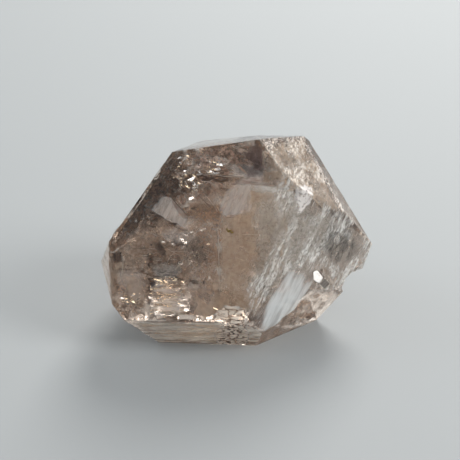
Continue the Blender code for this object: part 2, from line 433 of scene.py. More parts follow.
def scatter(lattice, seed):
    """One fixed pseudo-random number from 0 to 1 for each whole-number cell.

    The cell's three numbers are multiplied by large odd ones, and their bits are mixed.
    """
    c = np.asarray(lattice, np.int64).astype(np.uint64)
    for_x, for_y, for_z, for_all = (np.uint64(factor) for factor in MIXING_FACTORS)
    mix = (c[..., 0] * for_x ^ c[..., 1] * for_y ^ c[..., 2] * for_z
           ^ np.uint64(seed * SEED_FACTOR % 2**32))
    mix = (mix ^ (mix >> np.uint64(13))) * for_all
    mix = (mix ^ (mix >> np.uint64(16))) & np.uint64(LOW_BITS)
    return mix.astype(float) / LOW_BITS


def smooth(low, high, value):
    """0 below low, 1 above high, and an S-shaped rise between them."""
    t = np.clip((np.asarray(value, float) - low) / (high - low), 0, 1)
    return t * t * (3 - 2 * t)


def cloud(points, grain, seed):
    """Smooth noise from -1 to 1: lattice values, blended by an S-curve between corners."""
    p = np.asarray(points, float) / grain + LATTICE_SHIFT
    base = np.floor(p).astype(np.int64)
    f = p - base
    f = f * f * (3 - 2 * f)
    total = 0.0
    for corner_step in np.ndindex(2, 2, 2):
        c = np.array(corner_step)
        weight = np.prod(np.where(c == 1, f, 1 - f), axis=-1)
        total = total + weight * scatter(base + c, seed)
    return 2 * total - 1


def clouds(points, grain, seed, octaves):
    """Clouds over clouds: each finer by half and weaker by half."""
    return sum(cloud(points, grain / 2**k, seed + 17 * k) / 2**k for k in range(octaves))


def terrace(value, riser):
    """Whole steps with an S-shaped riser that takes the last part of each tread."""
    whole_step = np.floor(value)
    return whole_step + smooth(1 - riser, 1, value - whole_step)


def cells(points, grain, seed):
    """Distance to the nearest of one seed per cell, in grains."""
    p = np.asarray(points, float) / grain + LATTICE_SHIFT
    base = np.floor(p).astype(np.int64)
    nearest = np.full(p.shape[:-1], FAR)
    for step_to in np.ndindex(3, 3, 3):
        cell = base + np.array(step_to) - 1
        seed_at = cell + np.stack([scatter(cell, seed + k) for k in range(3)], -1)
        nearest = np.minimum(nearest, np.linalg.norm(seed_at - p, axis=-1))
    return nearest


print("cloud spread:", np.round(np.std(cloud(skin[:4000], 2.0, 1)), 3))

# %% [markdown]
# ## Places on a face
#
# Most features belong to one face, so they are drawn in that face's own level and
# up-slope axes. Two rules fill an area there: an ellipse, and any outline whose middle can
# see all of its rim. Both give a soft border.

# %% Find places on a face and fill areas


def turned(place, degrees):
    """A place in axes turned by an angle: x cos + y sin, and y cos - x sin."""
    c, s = math.cos(math.radians(degrees)), math.sin(math.radians(degrees))
    return place[0] * c + place[1] * s, place[1] * c - place[0] * s


def local(name, points, spin=0.0):
    """Level and up-slope places of points in a face's frame, turned by a spin in degrees."""
    level, slope = axes_of(PLANES[name][0])
    return turned(((points - CENTRE) @ level, (points - CENTRE) @ slope), spin)


def patch(across, up, middle, half, soft):
    """1 inside an ellipse and 0 outside, fading over the soft share of its size."""
    away = np.hypot((across - middle[0]) / half[0], (up - middle[1]) / half[1])
    return 1 - smooth(1 - soft, 1 + soft, away)


def reach_to_outline(angles, corners):
    """Distance from the origin to a closed outline, along each angle.

    A ray meets a side where the cross products of ray, side and first corner agree; of
    all the sides that a ray could meet, only those hit between their two ends count.
    """
    a = np.asarray(corners, float)
    b = np.roll(a, -1, 0)
    d = np.stack((np.cos(angles), np.sin(angles)), 1)
    side = b - a
    cross = d[:, :1] * side[:, 1] - d[:, 1:] * side[:, 0]
    safe = np.where(np.abs(cross) < NEAR_ZERO, NEAR_ZERO, cross)
    along = (a[:, 0] * side[:, 1] - a[:, 1] * side[:, 0]) / safe
    share = (a[:, 0] * d[:, 1:] - a[:, 1] * d[:, :1]) / safe
    good = (along > 0) & (share >= -TINY) & (share <= 1 + TINY)
    return np.where(good, along, FAR).min(1)


def within(across, up, corners, soft):
    """1 inside a star-shaped outline and 0 outside, fading over a soft share of its size."""
    middle = np.mean(corners, 0)
    x, y = across - middle[0], up - middle[1]
    reach = reach_to_outline(np.arctan2(y, x), np.asarray(corners) - middle)
    return 1 - smooth(1 - soft, 1 + soft, np.hypot(x, y) / reach)


print("the net reaches, in the right face's axes:", [round(float(v.max()), 1) for v in local("right", skin)])

# %% [markdown]
# ## Where each kind of skin lies
#
# Growth leaves the front almost flat. Acid water has eaten the right-hand faces into a
# frosted, snake-skin relief, with one window left smooth and one small spot polished. The
# window's skin is made milky and pale blue-grey: painted light that stands in for the bright
# floor seen through clear glass. Where each kind lies is worked out first, as a share from
# 0 to 1 for each point, because the relief and the finish both read it. The borders are
# shifted by clouds, so that they wander. The last number given to a cloud is its seed.

# %% Shares of etching, window and scales
SCALES_MIDDLE, SCALES_HALF, SCALES_DROP = (1.4, -17.0), (3.9, 2.8), 0.30
FOOT_SCALES_MIDDLE, FOOT_SCALES_HALF = (1.4, -10.6), (3.9, 4.4)
SCALE_WIDE, SCALE_HIGH = 1.9, 0.85
BORDER_AT, BORDER_SOFT = 8.6, (-2.8, 3.2)
WINDOW_MIDDLE, WINDOW_HALF, WINDOW_ANGLE = (5.0, -12.7), (7.6, 3.9), 50
GLINT_MIDDLE, GLINT_HALF = (14.1, -9.4), (2.7, 2.5)


def etched_share(points):
    """How etched a place on the front or right is: 0 left of a wandering border, 1 right."""
    across, up = local("front", points)
    border = BORDER_AT + 0.9 * np.sin(0.28 * up + 0.6) - 4.6 * smooth(-2, -12, up)
    border = border + 3.2 * smooth(9, 14, up) + 1.5 * cloud(points, 4.0, 5) + 0.7 * cloud(points, 1.2, 6)
    return smooth(*BORDER_SOFT, across - border)


def glint_share(points):
    """1 inside a small polished spot on the right face."""
    across, up = local("right", points)
    return patch(across, up, GLINT_MIDDLE, GLINT_HALF, 0.15)


def window_share(points):
    """1 inside the smooth window on the right face, an ellipse that leans up to the right."""
    along, over = local("right", points, WINDOW_ANGLE)
    ragged = 1.3 * cloud(np.stack((along * 0.22, over, 0 * over), -1), 0.9, 65)
    wide = WINDOW_HALF[1] * (1.0 + 0.25 * smooth(-6, 4, along))
    return patch(along, over + ragged, turned(WINDOW_MIDDLE, WINDOW_ANGLE), (WINDOW_HALF[0], wide), 0.28)


def scale_shape(across, up, middle, half, points):
    """Overlapping fish scales inside an ellipse: the squared distance to the nearest seed."""
    bend = 0.35 * np.sin(1.1 * across) + 0.4 * cloud(points, 1.8, 10)
    near = cells(np.stack((across / SCALE_WIDE, (up + bend) / SCALE_HIGH, 0 * up), -1), 1.0, 28)
    return -SCALES_DROP * patch(across, up, middle, half, 0.3) * near**2


print("etched share of the net:", round(float(etched_share(skin).mean()), 2))

# %% [markdown]
# ## The relief of each face
#
# The front has hair-thin level lines and a patch of overlapping scales above the foot. The
# etched end has worm-like ridges, a few grooves, a low ledge and small lumps. Behind, the
# growth steps are broad and deep: nobody looks at them directly, but everything seen
# through the stone is bent by them. Each face has one function that gives a height for
# each point, along the way the face looks. A displacement map could do the same, but
# formulas stay sharp at any size and keep their measures in millimetres.

# %% Work out the heights
FRONT_SWELL = 0.05
GROWTH_LINE_STEP, GROWTH_LINE_DROP = 1.55, 0.022
ETCH_ANGLE, ETCH_GRAIN, ETCH_FINE, ETCH_DEPTH, ETCH_SINK = 56, 0.95, 0.62, 0.085, 0.06
GROOVES_MIDDLE, GROOVES_HALF, GROOVES_ANGLE = (0.4, -8.2), (3.6, 1.9), 52
GROOVE_STEP, GROOVE_DEPTH = 0.62, 0.10
LEDGE_AT, LEDGE_ANGLE, LEDGE_LENGTH, LEDGE_DROP, LEDGE_RUN = (11.2, 11.7), 8, 6.0, 0.5, 5.0
FOOT_LINE_STEP, FOOT_LINE_DROP = 1.4, 0.16
SHOULDER_DROP = 0.22
TOP_LINE_STEP, SIDE_LINE_STEP = 0.8, 2.2
BACK_STEP_GRAIN, BACK_STEP = 9.0, 0.22
LUMPS = (((18.6, -0.6), (0.8, 1.4)), ((20.0, 0.8), (0.7, 1.1)),
         ((21.6, -0.6), (0.9, 1.0)), ((17.4, 1.6), (0.5, 0.8)))
LUMP_HEIGHT = 0.32


def ledge_shape(points):
    """A low step down the front's upper right: it drops at once and rises again slowly."""
    x, y = local("front", points, LEDGE_ANGLE)
    start, level = turned(LEDGE_AT, LEDGE_ANGLE)
    x, below = x - start, level - y
    shape = smooth(-0.55, 0.5, x / LEDGE_LENGTH) * (1 - smooth(0.5, 0.62, x / LEDGE_LENGTH))
    return -LEDGE_DROP * shape * smooth(0, 0.35, below) * (1 - smooth(0.35, LEDGE_RUN, below))


def soft_relief(points):
    """Height over the front, its round and the right face, in mm.

    The front's swell and lines fade into the etch as the etched share grows. Grooves,
    scales, a ledge and lumps are added at their own places.
    """
    across, up = local("front", points)
    swell = FRONT_SWELL * (cloud(points, 8.0, 2) + 0.5 * cloud(points, 3.5, 3))
    wander = 0.35 * cloud(points, 7.0, 4)
    lines = GROWTH_LINE_DROP * -terrace((up + 0.03 * across) / GROWTH_LINE_STEP + wander, 0.2)
    lines = lines + GROWTH_LINE_DROP * (up / GROWTH_LINE_STEP + wander)
    etched = etched_share(points) * (1 - window_share(points)) * (1 - 0.95 * glint_share(points))
    along, over = local("right", points, ETCH_ANGLE)
    drift = 0.5 * cloud(points, 3.0, 6)
    worm = np.stack((along * 0.34 + drift, over + drift, np.zeros_like(over)), -1)
    worms = 1 - 2.4 * np.abs(cloud(worm, ETCH_GRAIN, 7))
    deep = 0.5 + 0.7 * smooth(6, 22, local("right", points)[0]) + 0.35 * cloud(points, 5.0, 9)
    etch = ETCH_DEPTH * deep * (worms + 0.55 * cloud(worm, ETCH_FINE, 8)) - ETCH_SINK
    along, over = local("right", points, GROOVES_ANGLE)
    inside = patch(along, over, turned(GROOVES_MIDDLE, GROOVES_ANGLE), GROOVES_HALF, 0.3)
    groove = -GROOVE_DEPTH * inside * np.abs(np.sin(math.pi * over / GROOVE_STEP)) ** 0.5
    scales = scale_shape(across, up, SCALES_MIDDLE, SCALES_HALF, points)
    ledge = ledge_shape(points)
    x, y = local("right", points)
    lumps = LUMP_HEIGHT * sum(patch(x, y, middle, half, 0.6) for middle, half in LUMPS)
    return (swell + lines) * (1 - etched) + etch * etched + groove + scales + ledge + lumps


def foot_relief(points):
    """Level growth ledges, broken up towards the right, in mm."""
    across, up = local("foot", points)
    wander = 0.3 * cloud(points, 6.0, 11) + 0.5 * smooth(-3, 3, across) * cloud(points, 1.5, 12)
    steps = (up + 0.02 * across) / FOOT_LINE_STEP + wander
    scales = scale_shape(across, up, FOOT_SCALES_MIDDLE, FOOT_SCALES_HALF, points)
    return FOOT_LINE_DROP * (steps - terrace(steps, 0.3)) + 0.03 * cloud(points, 2.0, 13) + scales


def shoulder_relief(points):
    """A hammered face with a low curved ledge, in mm."""
    across, up = local("shoulder", points)
    hammered = 0.07 * (1 - 2 * np.abs(cloud(points, 1.7, 14))) + 0.04 * cloud(points, 0.8, 15)
    edge = up + 1.5 + 0.10 * across**2 + 0.8 * cloud(points, 2.5, 16)
    return hammered - SHOULDER_DROP * smooth(0, 0.4, edge) + 0.05 * cloud(points, 4.0, 17)


def lower_right_relief(points):
    """Shell-shaped hollows and scratches under the etched end, in mm."""
    return 0.16 * cells(points, 3.4, 18)**2 - 0.10 + 0.05 * cloud(points, 1.3, 19)


def top_relief(points):
    """Fine lines that run along the crest, in mm."""
    lines = local("top", points, 12)[1] / TOP_LINE_STEP + 0.4 * cloud(points, 4.0, 20)
    return 0.05 * (lines - terrace(lines, 0.3)) + 0.03 * cloud(points, 2.2, 21)


def side_relief(points):
    """Faint level steps, in mm."""
    steps = points[:, 2] / SIDE_LINE_STEP + 0.5 * cloud(points, 5.0, 29)
    return 0.07 * (steps - terrace(steps, 0.3)) + 0.03 * cloud(points, 2.5, 30)


def back_relief(points):
    """Broad plateaus with steep rims, like contour lines cut in stone, in mm."""
    height = 2.6 * clouds(points, BACK_STEP_GRAIN, 22, 2)
    return BACK_STEP * (terrace(height, 0.12) + 0.5) + 0.05 * cloud(points, 4.0, 23)


print("lumps on the right face:", len(LUMPS))

# %% [markdown]
# ## Lift the skin
#
# The heights are added along the way that each point faces. They die out close to the hard
# edges, so that these stay straight. The edges themselves are worn a little: a narrow
# bevel runs along them, with small nicks where a cloud is thick. The base stays flat.

# %% Add the relief and wear the edges
RELIEF = {"foot": foot_relief, "shoulder": shoulder_relief, "right_foot": lower_right_relief,
          "right_under": lower_right_relief, "top": top_relief, "top_right": top_relief,
          "right_back": shoulder_relief, "left": side_relief, "left_under": side_relief, "base": None}
RELIEF_FADE = 0.7
NICK_DEPTH, NICK_REACH = 0.16, 0.3
EDGE_BEVEL, BEVEL_REACH = 0.07, 0.12

height = np.zeros(len(skin))
for index, name in enumerate(face_names):
    mine = np.unique(triangles[owner == index])
    way = soft_relief if name in SOFT else RELIEF.get(name, back_relief)
    if way is not None:
        height[mine] = way(skin[mine])
height *= smooth(0.0, RELIEF_FADE, rim)
nicks = np.maximum(0, cloud(skin, 1.1, 24) - 0.25) * np.exp(-rim / NICK_REACH)
height -= NICK_DEPTH * nicks * (skin[:, 2] > 0.8)
height -= EDGE_BEVEL * np.exp(-(rim / BEVEL_REACH) ** 2) * (skin[:, 2] > 0.05)
skin = skin + outward * height[:, None]
print("relief in mm: lowest", round(height.min(), 2), "highest", round(height.max(), 2))

# %% [markdown]
# ## Broken places
#
# Two pieces are missing: a wedge that split away under the right face, along two flat
# walls, and a spoon-shaped flake under the nose. A break only ever takes stone off, so each
# point is pulled straight in towards the middle until it meets the broken wall. The points
# keep their order, and the skin stays closed. A Boolean would cut the same shapes, but it
# tears the even net apart.

# %% Pull the skin in to the broken walls
CHIP_CORNER = (10.9, -11.4)
CHIP_WALLS = ((38, -12), (17, -21))  # bearing and tilt of each wall
BITE_PLACE = np.array((30.2, -6.0, -10.9))
BITE_RADII = np.array((5.6, 7.5, 4.2))
BITE_LEAN = math.radians(35)
WALL, BITE = 100, 101

arm = skin - CENTRE
length = np.linalg.norm(arm, axis=1)
ray = arm / length[:, None]
broken_at = on_face("right", *CHIP_CORNER) - CENTRE
out_of_wall = []
for bearing, tilt in CHIP_WALLS:
    n = facing(bearing, tilt)
    share = ray @ n
    out_of_wall.append(np.where(share > TINY, (broken_at @ n) / np.maximum(share, TINY), FAR))
wall_reach = np.maximum(*out_of_wall)
wall_reach = wall_reach + 0.22 * cloud(skin, 2.2, 25) + 0.09 * cloud(skin, 0.8, 26)
lean = np.array(((math.cos(BITE_LEAN), 0, math.sin(BITE_LEAN)), (0, 1, 0),
                 (-math.sin(BITE_LEAN), 0, math.cos(BITE_LEAN))))
# where a ray meets the spoon's ellipsoid: the two roots of a quadratic
way, middle = (ray @ lean) / BITE_RADII, (BITE_PLACE @ lean) / BITE_RADII
a, b, c = (way**2).sum(1), way @ middle, middle @ middle - 1
root = b**2 - a * c
enter = (b - np.sqrt(np.maximum(root, 0))) / a
leave = (b + np.sqrt(np.maximum(root, 0))) / a
bite_reach = np.where((root > 0) & (length < leave), enter, FAR)
bite_reach = bite_reach + 0.10 * cloud(skin, 1.5, 27)
carved = np.zeros(len(skin), int)
carved[wall_reach < length] = WALL
carved[bite_reach < np.minimum(length, wall_reach)] = BITE
length = np.minimum(length, np.minimum(wall_reach, bite_reach))
skin = CENTRE + ray * length[:, None]
print("points pulled in:", int((carved == WALL).sum()), "to the walls,",
      int((carved == BITE).sum()), "to the bite")

# %% [markdown]
# ## From arrays to a mesh
#
# Every piece in this scene is an array of places and an array of faces, so one helper
# makes them all. It works in millimetres and writes metres, leaves the object at the
# origin, and can carry a number for each point, which a material reads back as an
# attribute. Edges between two groups of faces are marked sharp and all others are smooth.

# %% One helper for every piece


def make_piece(name, spots, faces, material, numbers=None, groups=None):
    """An object at the origin from places in mm; numbers are attributes, groups set sharps."""
    mesh = bpy.data.meshes.new(name)
    faces = np.asarray(faces)
    mesh.vertices.add(len(spots))
    mesh.vertices.foreach_set("co", (np.asarray(spots) * MM).astype(np.float32).ravel())
    sides = faces.shape[1]
    mesh.loops.add(faces.size)
    mesh.loops.foreach_set("vertex_index", faces.astype(np.int32).ravel())
    mesh.polygons.add(len(faces))
    mesh.polygons.foreach_set("loop_start", np.arange(0, faces.size, sides, dtype=np.int32))
    mesh.update(calc_edges=True)
    mesh.validate()
    mesh.shade_smooth()
    if groups is not None:
        edge_of = np.empty(faces.size, np.int32)
        mesh.loops.foreach_get("edge_index", edge_of)
        low = np.full(len(mesh.edges), 10**6)
        high = np.full(len(mesh.edges), -1)
        np.minimum.at(low, edge_of, np.repeat(groups, sides))
        np.maximum.at(high, edge_of, np.repeat(groups, sides))
        sharp = mesh.attributes.new("sharp_edge", "BOOLEAN", "EDGE")
        sharp.data.foreach_set("value", low != high)
    for key, values in (numbers or {}).items():
        mesh.attributes.new(key, "FLOAT", "POINT").data.foreach_set("value", values.astype(np.float32))
    mesh.materials.append(material)
    piece = bpy.data.objects.new(name, mesh)
    bpy.context.scene.collection.objects.link(piece)
    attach(piece, "root")
    return piece


# Faces that meet in the worn round are one group, and each broken place is a group.
group = owner.copy()
for index, name in enumerate(face_names):
    if name in SOFT:
        group[owner == index] = face_names.index("front")
most = np.sort(carved[triangles], axis=1)[:, 1]
group = np.where(most > 0, most, group)
print("groups of faces:", len(np.unique(group)))

# %% [markdown]
# ## Where the frost lies
#
# Frost is an acid-eaten skin: it scatters light and looks white. It is a number from 0 to 1
# for each point of the mesh, since it follows places on the stone that no noise would
# hit. It starts from the etched share, then whole faces, worn places and lumps are set.

# %% Spread the frost
FACE_FROST = {"shoulder": 1.0, "right_foot": 0.42, "right_under": 0.45, "right_back": 0.7,
              "top": 0.35, "top_right": 0.35, "foot": 0.38, "left": 0.3}
WALL_FROST, BITE_FROST = 0.4, 0.3
ZONES = (  # face, middle (across, up), half size, how much of the frost stays
    ("right", (19.6, -3.4), (3.0, 4.2), 0.55), ("right", GLINT_MIDDLE, GLINT_HALF, 0.02),
    ("right", (23.2, -2.0), (2.4, 4.0), 0.58), ("right", (13.3, 7.6), (1.6, 1.7), 0.12),
    ("shoulder", (2.6, -4.4), (2.8, 1.5), 0.20),
    ("shoulder", (7.6, -4.0), (3.0, 3.0), 0.55), ("shoulder", (3.6, 6.6), (2.4, 2.0), 0.55),
)


def looks_out(name, least=0.8):
    """True where the skin looks nearly the way that a face does: their cosine is high."""
    return outward @ PLANES[name][0] > least


soft_mask = np.zeros(len(skin))
soft_mask[np.unique(triangles[np.isin(owner, [face_names.index(n) for n in SOFT])])] = 1
frost = etched_share(skin) * (1 - 0.9 * window_share(skin)) * soft_mask
for name, amount in FACE_FROST.items():
    mine = np.unique(triangles[owner == face_names.index(name)])
    frost[mine] = np.maximum(frost[mine], amount)
frost[carved == WALL] = WALL_FROST
for name, middle, half, stays in ZONES:
    x, y = local(name, skin)
    here = looks_out(name) * patch(x + 0.5 * cloud(skin, 1.2, 61), y, middle, half, 0.25)
    frost *= 1 - (1 - stays) * here
x, y = local("right", skin)
for middle, half in LUMPS:
    frost = np.maximum(frost, soft_mask * patch(x, y, middle, half, 0.3))
frost[carved == BITE] = BITE_FROST
print("mean frost:", round(float(frost.mean()), 2))

# %% [markdown]
# ## Scars, flakes and ledges
#
# Some marks have outlines of their own: white scars on the etched end, pale healed flakes
# under the front, and a bed of golden glitter. Each is an outline on one face, filled by
# the rule within(). Its points are shaken by a cloud first, so that the outline is ragged.
# The numbers end up as attributes of the mesh, and the finish turns them into milk and
# colour.

# %% Paint the marks
SCARS = (  # face, outline (across, up)
    ("shoulder", ((2.0, 0.8), (3.1, 0.6), (4.9, -0.4), (5.0, -2.0), (3.9, -2.9), (2.7, -1.8), (1.4, -0.4))),
    ("right", ((9.9, 13.2), (11.8, 11.8), (13.1, 10.3), (12.6, 9.0), (11.4, 8.5), (10.7, 6.9), (9.2, 6.9),
               (9.8, 9.0), (9.2, 10.8))),
)
FLAKES = (  # strength, outline (across, up) of a pale healed flake at the front
    (0.66, ((-16.3, 6.2), (-13.7, 9.3), (-12.2, 9.2), (-10.7, 6.4), (-8.0, 3.2), (-8.2, 2.1), (-10.0, 3.0),
            (-12.8, 4.2), (-15.4, 5.6))),
    (0.56, ((-1.6, 7.8), (-0.2, 10.7), (1.9, 12.3), (4.9, 12.6), (5.4, 9.1), (5.1, 6.5), (2.1, 5.6),
            (-0.9, 5.7))),
    (0.36, ((-14.2, 1.0), (-12.6, 2.2), (-8.6, 1.9), (-6.6, 0.6), (-8.4, -0.9), (-12.4, -0.6))),
    (0.30, ((-15.9, -6.2), (-13.5, -5.3), (-10.8, -5.8), (-9.8, -7.4), (-12.0, -8.8), (-15.2, -8.6))),
    (0.24, ((-8.6, -10.2), (-4.2, -9.6), (-2.0, -12.4), (-2.6, -16.6), (-7.2, -17.0), (-9.2, -14.0))),
    (0.30, ((-23.6, -7.4), (-17.8, -7.6), (-16.9, -11), (-17.4, -13.6), (-20.5, -13.2), (-23, -12))),
)
GOLD_BED_MIDDLE, GOLD_BED_HALF, GOLD_BED_PAINTED_GLITTER = (-12.9, -13.4), (3.7, 4.3), 0.6

scar = np.zeros(len(skin))
for name, part in SCARS:
    x, y = local(name, skin)
    x, y = x + 0.45 * cloud(skin, 0.8, 62), y + 0.45 * cloud(skin, 0.8, 63)
    scar = np.maximum(scar, within(x, y, part, 0.16) * looks_out(name))
on_shoulder = smooth(0.86, 0.93, outward @ PLANES["shoulder"][0])
tan_share = on_shoulder * (0.75 + 0.25 * cloud(skin, 2.4, 64))
# Painted light: the window's pale milk stands in for the bright floor seen through clear glass; the front
# flakes below add to the same share.
pane = soft_mask * window_share(skin)
wander = 0.9 * cloud(skin, 1.3, 66)
on_front, on_foot = looks_out("front", 0.9), looks_out("foot", 0.9)
x, y = local("front", skin)
scaly = soft_mask * patch(x + wander, y, SCALES_MIDDLE, SCALES_HALF, 0.2)
browned = on_front * patch(x + wander, y, GOLD_BED_MIDDLE, GOLD_BED_HALF, 0.35)
# Painted glitter: ledge milk in the golden bed stands in for the sparkle of light there.
painted_glitter = GOLD_BED_PAINTED_GLITTER * browned
for strength, part in FLAKES:
    flake = on_front * within(x + 0.3 * cloud(skin, 1.0, 68), y + 0.3 * cloud(skin, 1.0, 69), part, 0.08)
    pane, browned = np.maximum(pane, strength * flake), np.maximum(browned, flake)
x, y = local("foot", skin)
scaly = np.maximum(scaly, on_foot * patch(x + wander, y, FOOT_SCALES_MIDDLE, FOOT_SCALES_HALF, 0.2))
# Partly painted glints: the level ledge milk on the foot grows towards its bottom edge, where it stands in
# for glints of light.
ledges_and_glints = on_foot * (1 - scaly) * (0.85 + 0.35 * smooth(-8.5, -12.5, y)) * (0.85 + 0.3 * cloud(skin, 4.0, 67))
ledges_and_glints = np.maximum(ledges_and_glints, painted_glitter)
PAINT = {"frost": frost, "scar": scar, "tan": tan_share, "pane": pane, "scaly": scaly,
         "ledges_and_glints": ledges_and_glints, "browned": browned}
print("painted points:", {name: int((amount > 0.5).sum()) for name, amount in PAINT.items()})

# %% [markdown]
# ## A few words for shaders
#
# A finish is a net of small nodes: noise, ramps, sums and mixes. Wiring them one by one
# hides the idea, so each kind of node gets one word here. Every word finds the material
# from the socket that it is given, and hands on a socket, so that a finish reads like a
# formula. Patterns are read in the stone's own coordinates, or along a grain: the same
# coordinates turned into a face's frame and squeezed, which draws noise out into streaks.

# %% Words for shaders


def feed(socket, value):
    """Wire an output to an input, or set the input to a number or a colour."""
    if isinstance(value, bpy.types.NodeSocket):
        socket.id_data.links.new(value, socket)
    elif socket.type == "RGBA" and len(value) == 3:
        socket.default_value = (*value, 1.0)
    else:
        socket.default_value = value


def node(tree, kind, *in_order, **by_name):
    """A shader node; values go to its inputs in order, or by name, with _ for a space."""
    made = tree.nodes.new(kind)
    for socket, value in zip(made.inputs, in_order):
        feed(socket, value)
    for key, value in by_name.items():
        feed(made.inputs[key.replace("_", " ")], value)
    return made


def stone_place(tree):
    """The stone's own coordinates, in metres."""
    return node(tree, "ShaderNodeTexCoord").outputs["Object"]


def attribute_of(tree, name):
    """A number that was painted on the mesh."""
    made = node(tree, "ShaderNodeAttribute")
    made.attribute_name = name
    return made.outputs["Fac"]


def noise_of(place, grain, detail=3.0, rough_mix=0.55, twist=0.0):
    """Noise with a grain in mm at a place."""
    return node(place.id_data, "ShaderNodeTexNoise", Vector=place, Scale=1 / MM / grain, Detail=detail,
                Roughness=rough_mix, Distortion=twist).outputs["Fac"]


def ramp_of(value, low, high, to_low=0.0, to_high=1.0):
    """An S-shaped rise from one value to another as the input crosses a range."""
    made = node(value.id_data, "ShaderNodeMapRange", Value=value, From_Min=low, From_Max=high,
                To_Min=to_low, To_Max=to_high)
    made.interpolation_type = "SMOOTHSTEP"
    return made.outputs["Result"]


def calculate(kind, first, *rest):
    """Values combined one after another, by a Math node each."""
    for value in rest:
        made = node(first.id_data, "ShaderNodeMath", first, value)
        made.operation = kind
        first = made.outputs[0]
    return first


def times(*values):
    """All the values multiplied."""
    return calculate("MULTIPLY", *values)


def highest(*values):
    """The highest of the values."""
    return calculate("MAXIMUM", *values)


def off_middle(value, middle=0.5):
    """How far a value is from the middle of noise: low along thin wandering lines."""
    return calculate("ABSOLUTE", calculate("SUBTRACT", value, middle), 0.0)


def blend_of(share, one, two, mode="MIX"):
    """Two colours mixed by a share."""
    made = node(share.id_data, "ShaderNodeMix")
    made.data_type, made.blend_type = "RGBA", mode
    for key, value in (("Factor", share), ("A", one), ("B", two)):
        feed(made.inputs[key], value)
    return made.outputs["Result"]


def streaks(place, face, spin, squeeze):
    """A place turned into a face's frame, spun in degrees and squeezed along its X."""
    tree = place.id_data
    bearing, tilt = FACES[face][:2]
    framed = node(tree, "ShaderNodeVectorRotate", Vector=place)
    framed.rotation_type = "EULER_XYZ"
    framed.invert = True
    feed(framed.inputs["Rotation"], (math.radians(90 - tilt), 0.0, math.radians(bearing)))
    spun = node(tree, "ShaderNodeVectorRotate", Vector=framed.outputs["Vector"], Angle=-math.radians(spin))
    spun.rotation_type = "Z_AXIS"
    squeezed = node(tree, "ShaderNodeVectorMath", spun.outputs["Vector"], (squeeze, 1.0, 1.0))
    squeezed.operation = "MULTIPLY"
    return squeezed.outputs["Vector"]


def shaken(place, scale, amount, **look):
    """A place moved about by coloured noise, by an amount in metres."""
    stir = node(place.id_data, "ShaderNodeTexNoise", Vector=place, Scale=scale, **look)
    moved = node(place.id_data, "ShaderNodeVectorMath")
    moved.operation = "MULTIPLY_ADD"
    for socket, value in zip(moved.inputs, (stir.outputs["Color"], (amount,) * 3, place)):
        feed(socket, value)
    return moved.outputs["Vector"]


print("words for shaders:", [w.__name__ for w in (node, noise_of, ramp_of, calculate, blend_of, streaks)])

# %% [markdown]
# ## Smoky glass
#
# The body's shader is a Principled one that lets all light through. The brown is in its
# depth, not on its skin: absorption in the volume makes thin places pale and thick places
# dark, as in the real stone. Wherever the skin is milky, it lets less light through and
# shows a colour of its own. How milky each place is comes from the painted numbers, each
# times a pattern: pits and streaks for the frost, cracked cells for the scales, level
# bands for the ledges. The level bands are partly painted light: they grow towards the
# foot's bottom edge as painted glints, and fill the golden bed as painted glitter.

# %% Work out the milk on the skin
QUARTZ_INDEX = 1.544
SMOKE_COLOUR, SMOKE_DENSITY = (0.63, 0.485, 0.355), 25.0
FROST_LAY, STRIPE_LAY = ("right", ETCH_ANGLE, 0.34), ("right", 58, 0.13)  # face, spin, squeeze
SCALE_LAY, LEDGE_LAY = ("front", 4, 0.48), ("front", 0, 0.10)
CELL_WIDE = 1.15
CELL_SHAKE = (560.0, 2.6 * MM)  # scale of the noise, and how far it moves a place

glass = bpy.data.materials.new("smoky_glass")
body = shader_of(glass)
tree = glass.node_tree
body.inputs["IOR"].default_value = QUARTZ_INDEX
smoke = node(tree, "ShaderNodeVolumeAbsorption", Color=SMOKE_COLOUR, Density=SMOKE_DENSITY)
feed(tree.nodes["Material Output"].inputs["Volume"], smoke.outputs["Volume"])
frosted, scarred, tanned, pale_pane, scaled, streaked, warmed = (
    attribute_of(tree, name) for name in PAINT)
plain = stone_place(tree)
lay, long_lay, scale_lay, level_lay = (
    streaks(plain, *way) for way in (FROST_LAY, STRIPE_LAY, SCALE_LAY, LEDGE_LAY))

held_back = times(calculate("SUBTRACT", frosted, 1.0), 0.30)
pit_at = ramp_of(calculate("ADD", noise_of(lay, 0.36, 4.0, 0.7), held_back), 0.34, 0.66)
drift = ramp_of(noise_of(lay, 5.0, 3.0, 0.6), 0.34, 0.62, 0.35, 1.0)
stripe = ramp_of(noise_of(long_lay, 0.75, 4.0, 0.65), 0.37, 0.60, 0.40, 1.12)
hairline = ramp_of(off_middle(noise_of(lay, 1.5, 3.0, 0.6, 0.6)), 0.003, 0.022)
frost_milk = times(frosted, ramp_of(pit_at, 0.0, 1.0, 0.48, 1.06), drift, stripe,
                   ramp_of(hairline, 0.0, 1.0, 0.55, 1.0))
scar_milk = times(scarred, ramp_of(noise_of(plain, 0.8), 0.36, 0.56, 0.25, 1.1))
pane_milk = times(pale_pane, ramp_of(noise_of(long_lay, 0.9), 0.3, 0.7, 0.60, 1.05))
cracked = node(tree, "ShaderNodeTexVoronoi", Vector=shaken(scale_lay, *CELL_SHAKE, Detail=3.0),
               Scale=1 / MM / CELL_WIDE)
cracked.feature = "DISTANCE_TO_EDGE"
in_cell = ramp_of(cracked.outputs["Distance"], 0.015, 0.12)
scale_milk = times(scaled, times(in_cell, ramp_of(noise_of(scale_lay, 0.7), 0.35, 0.62, 0.45, 1.15)))
ledge_and_glint_milk = times(streaked, ramp_of(noise_of(level_lay, 0.8, 4.0, 0.65), 0.42, 0.60, 0.42, 1.08))
milky = highest(frost_milk, scar_milk, pane_milk, scale_milk, ledge_and_glint_milk)
print("nodes in the glass so far:", len(tree.nodes))

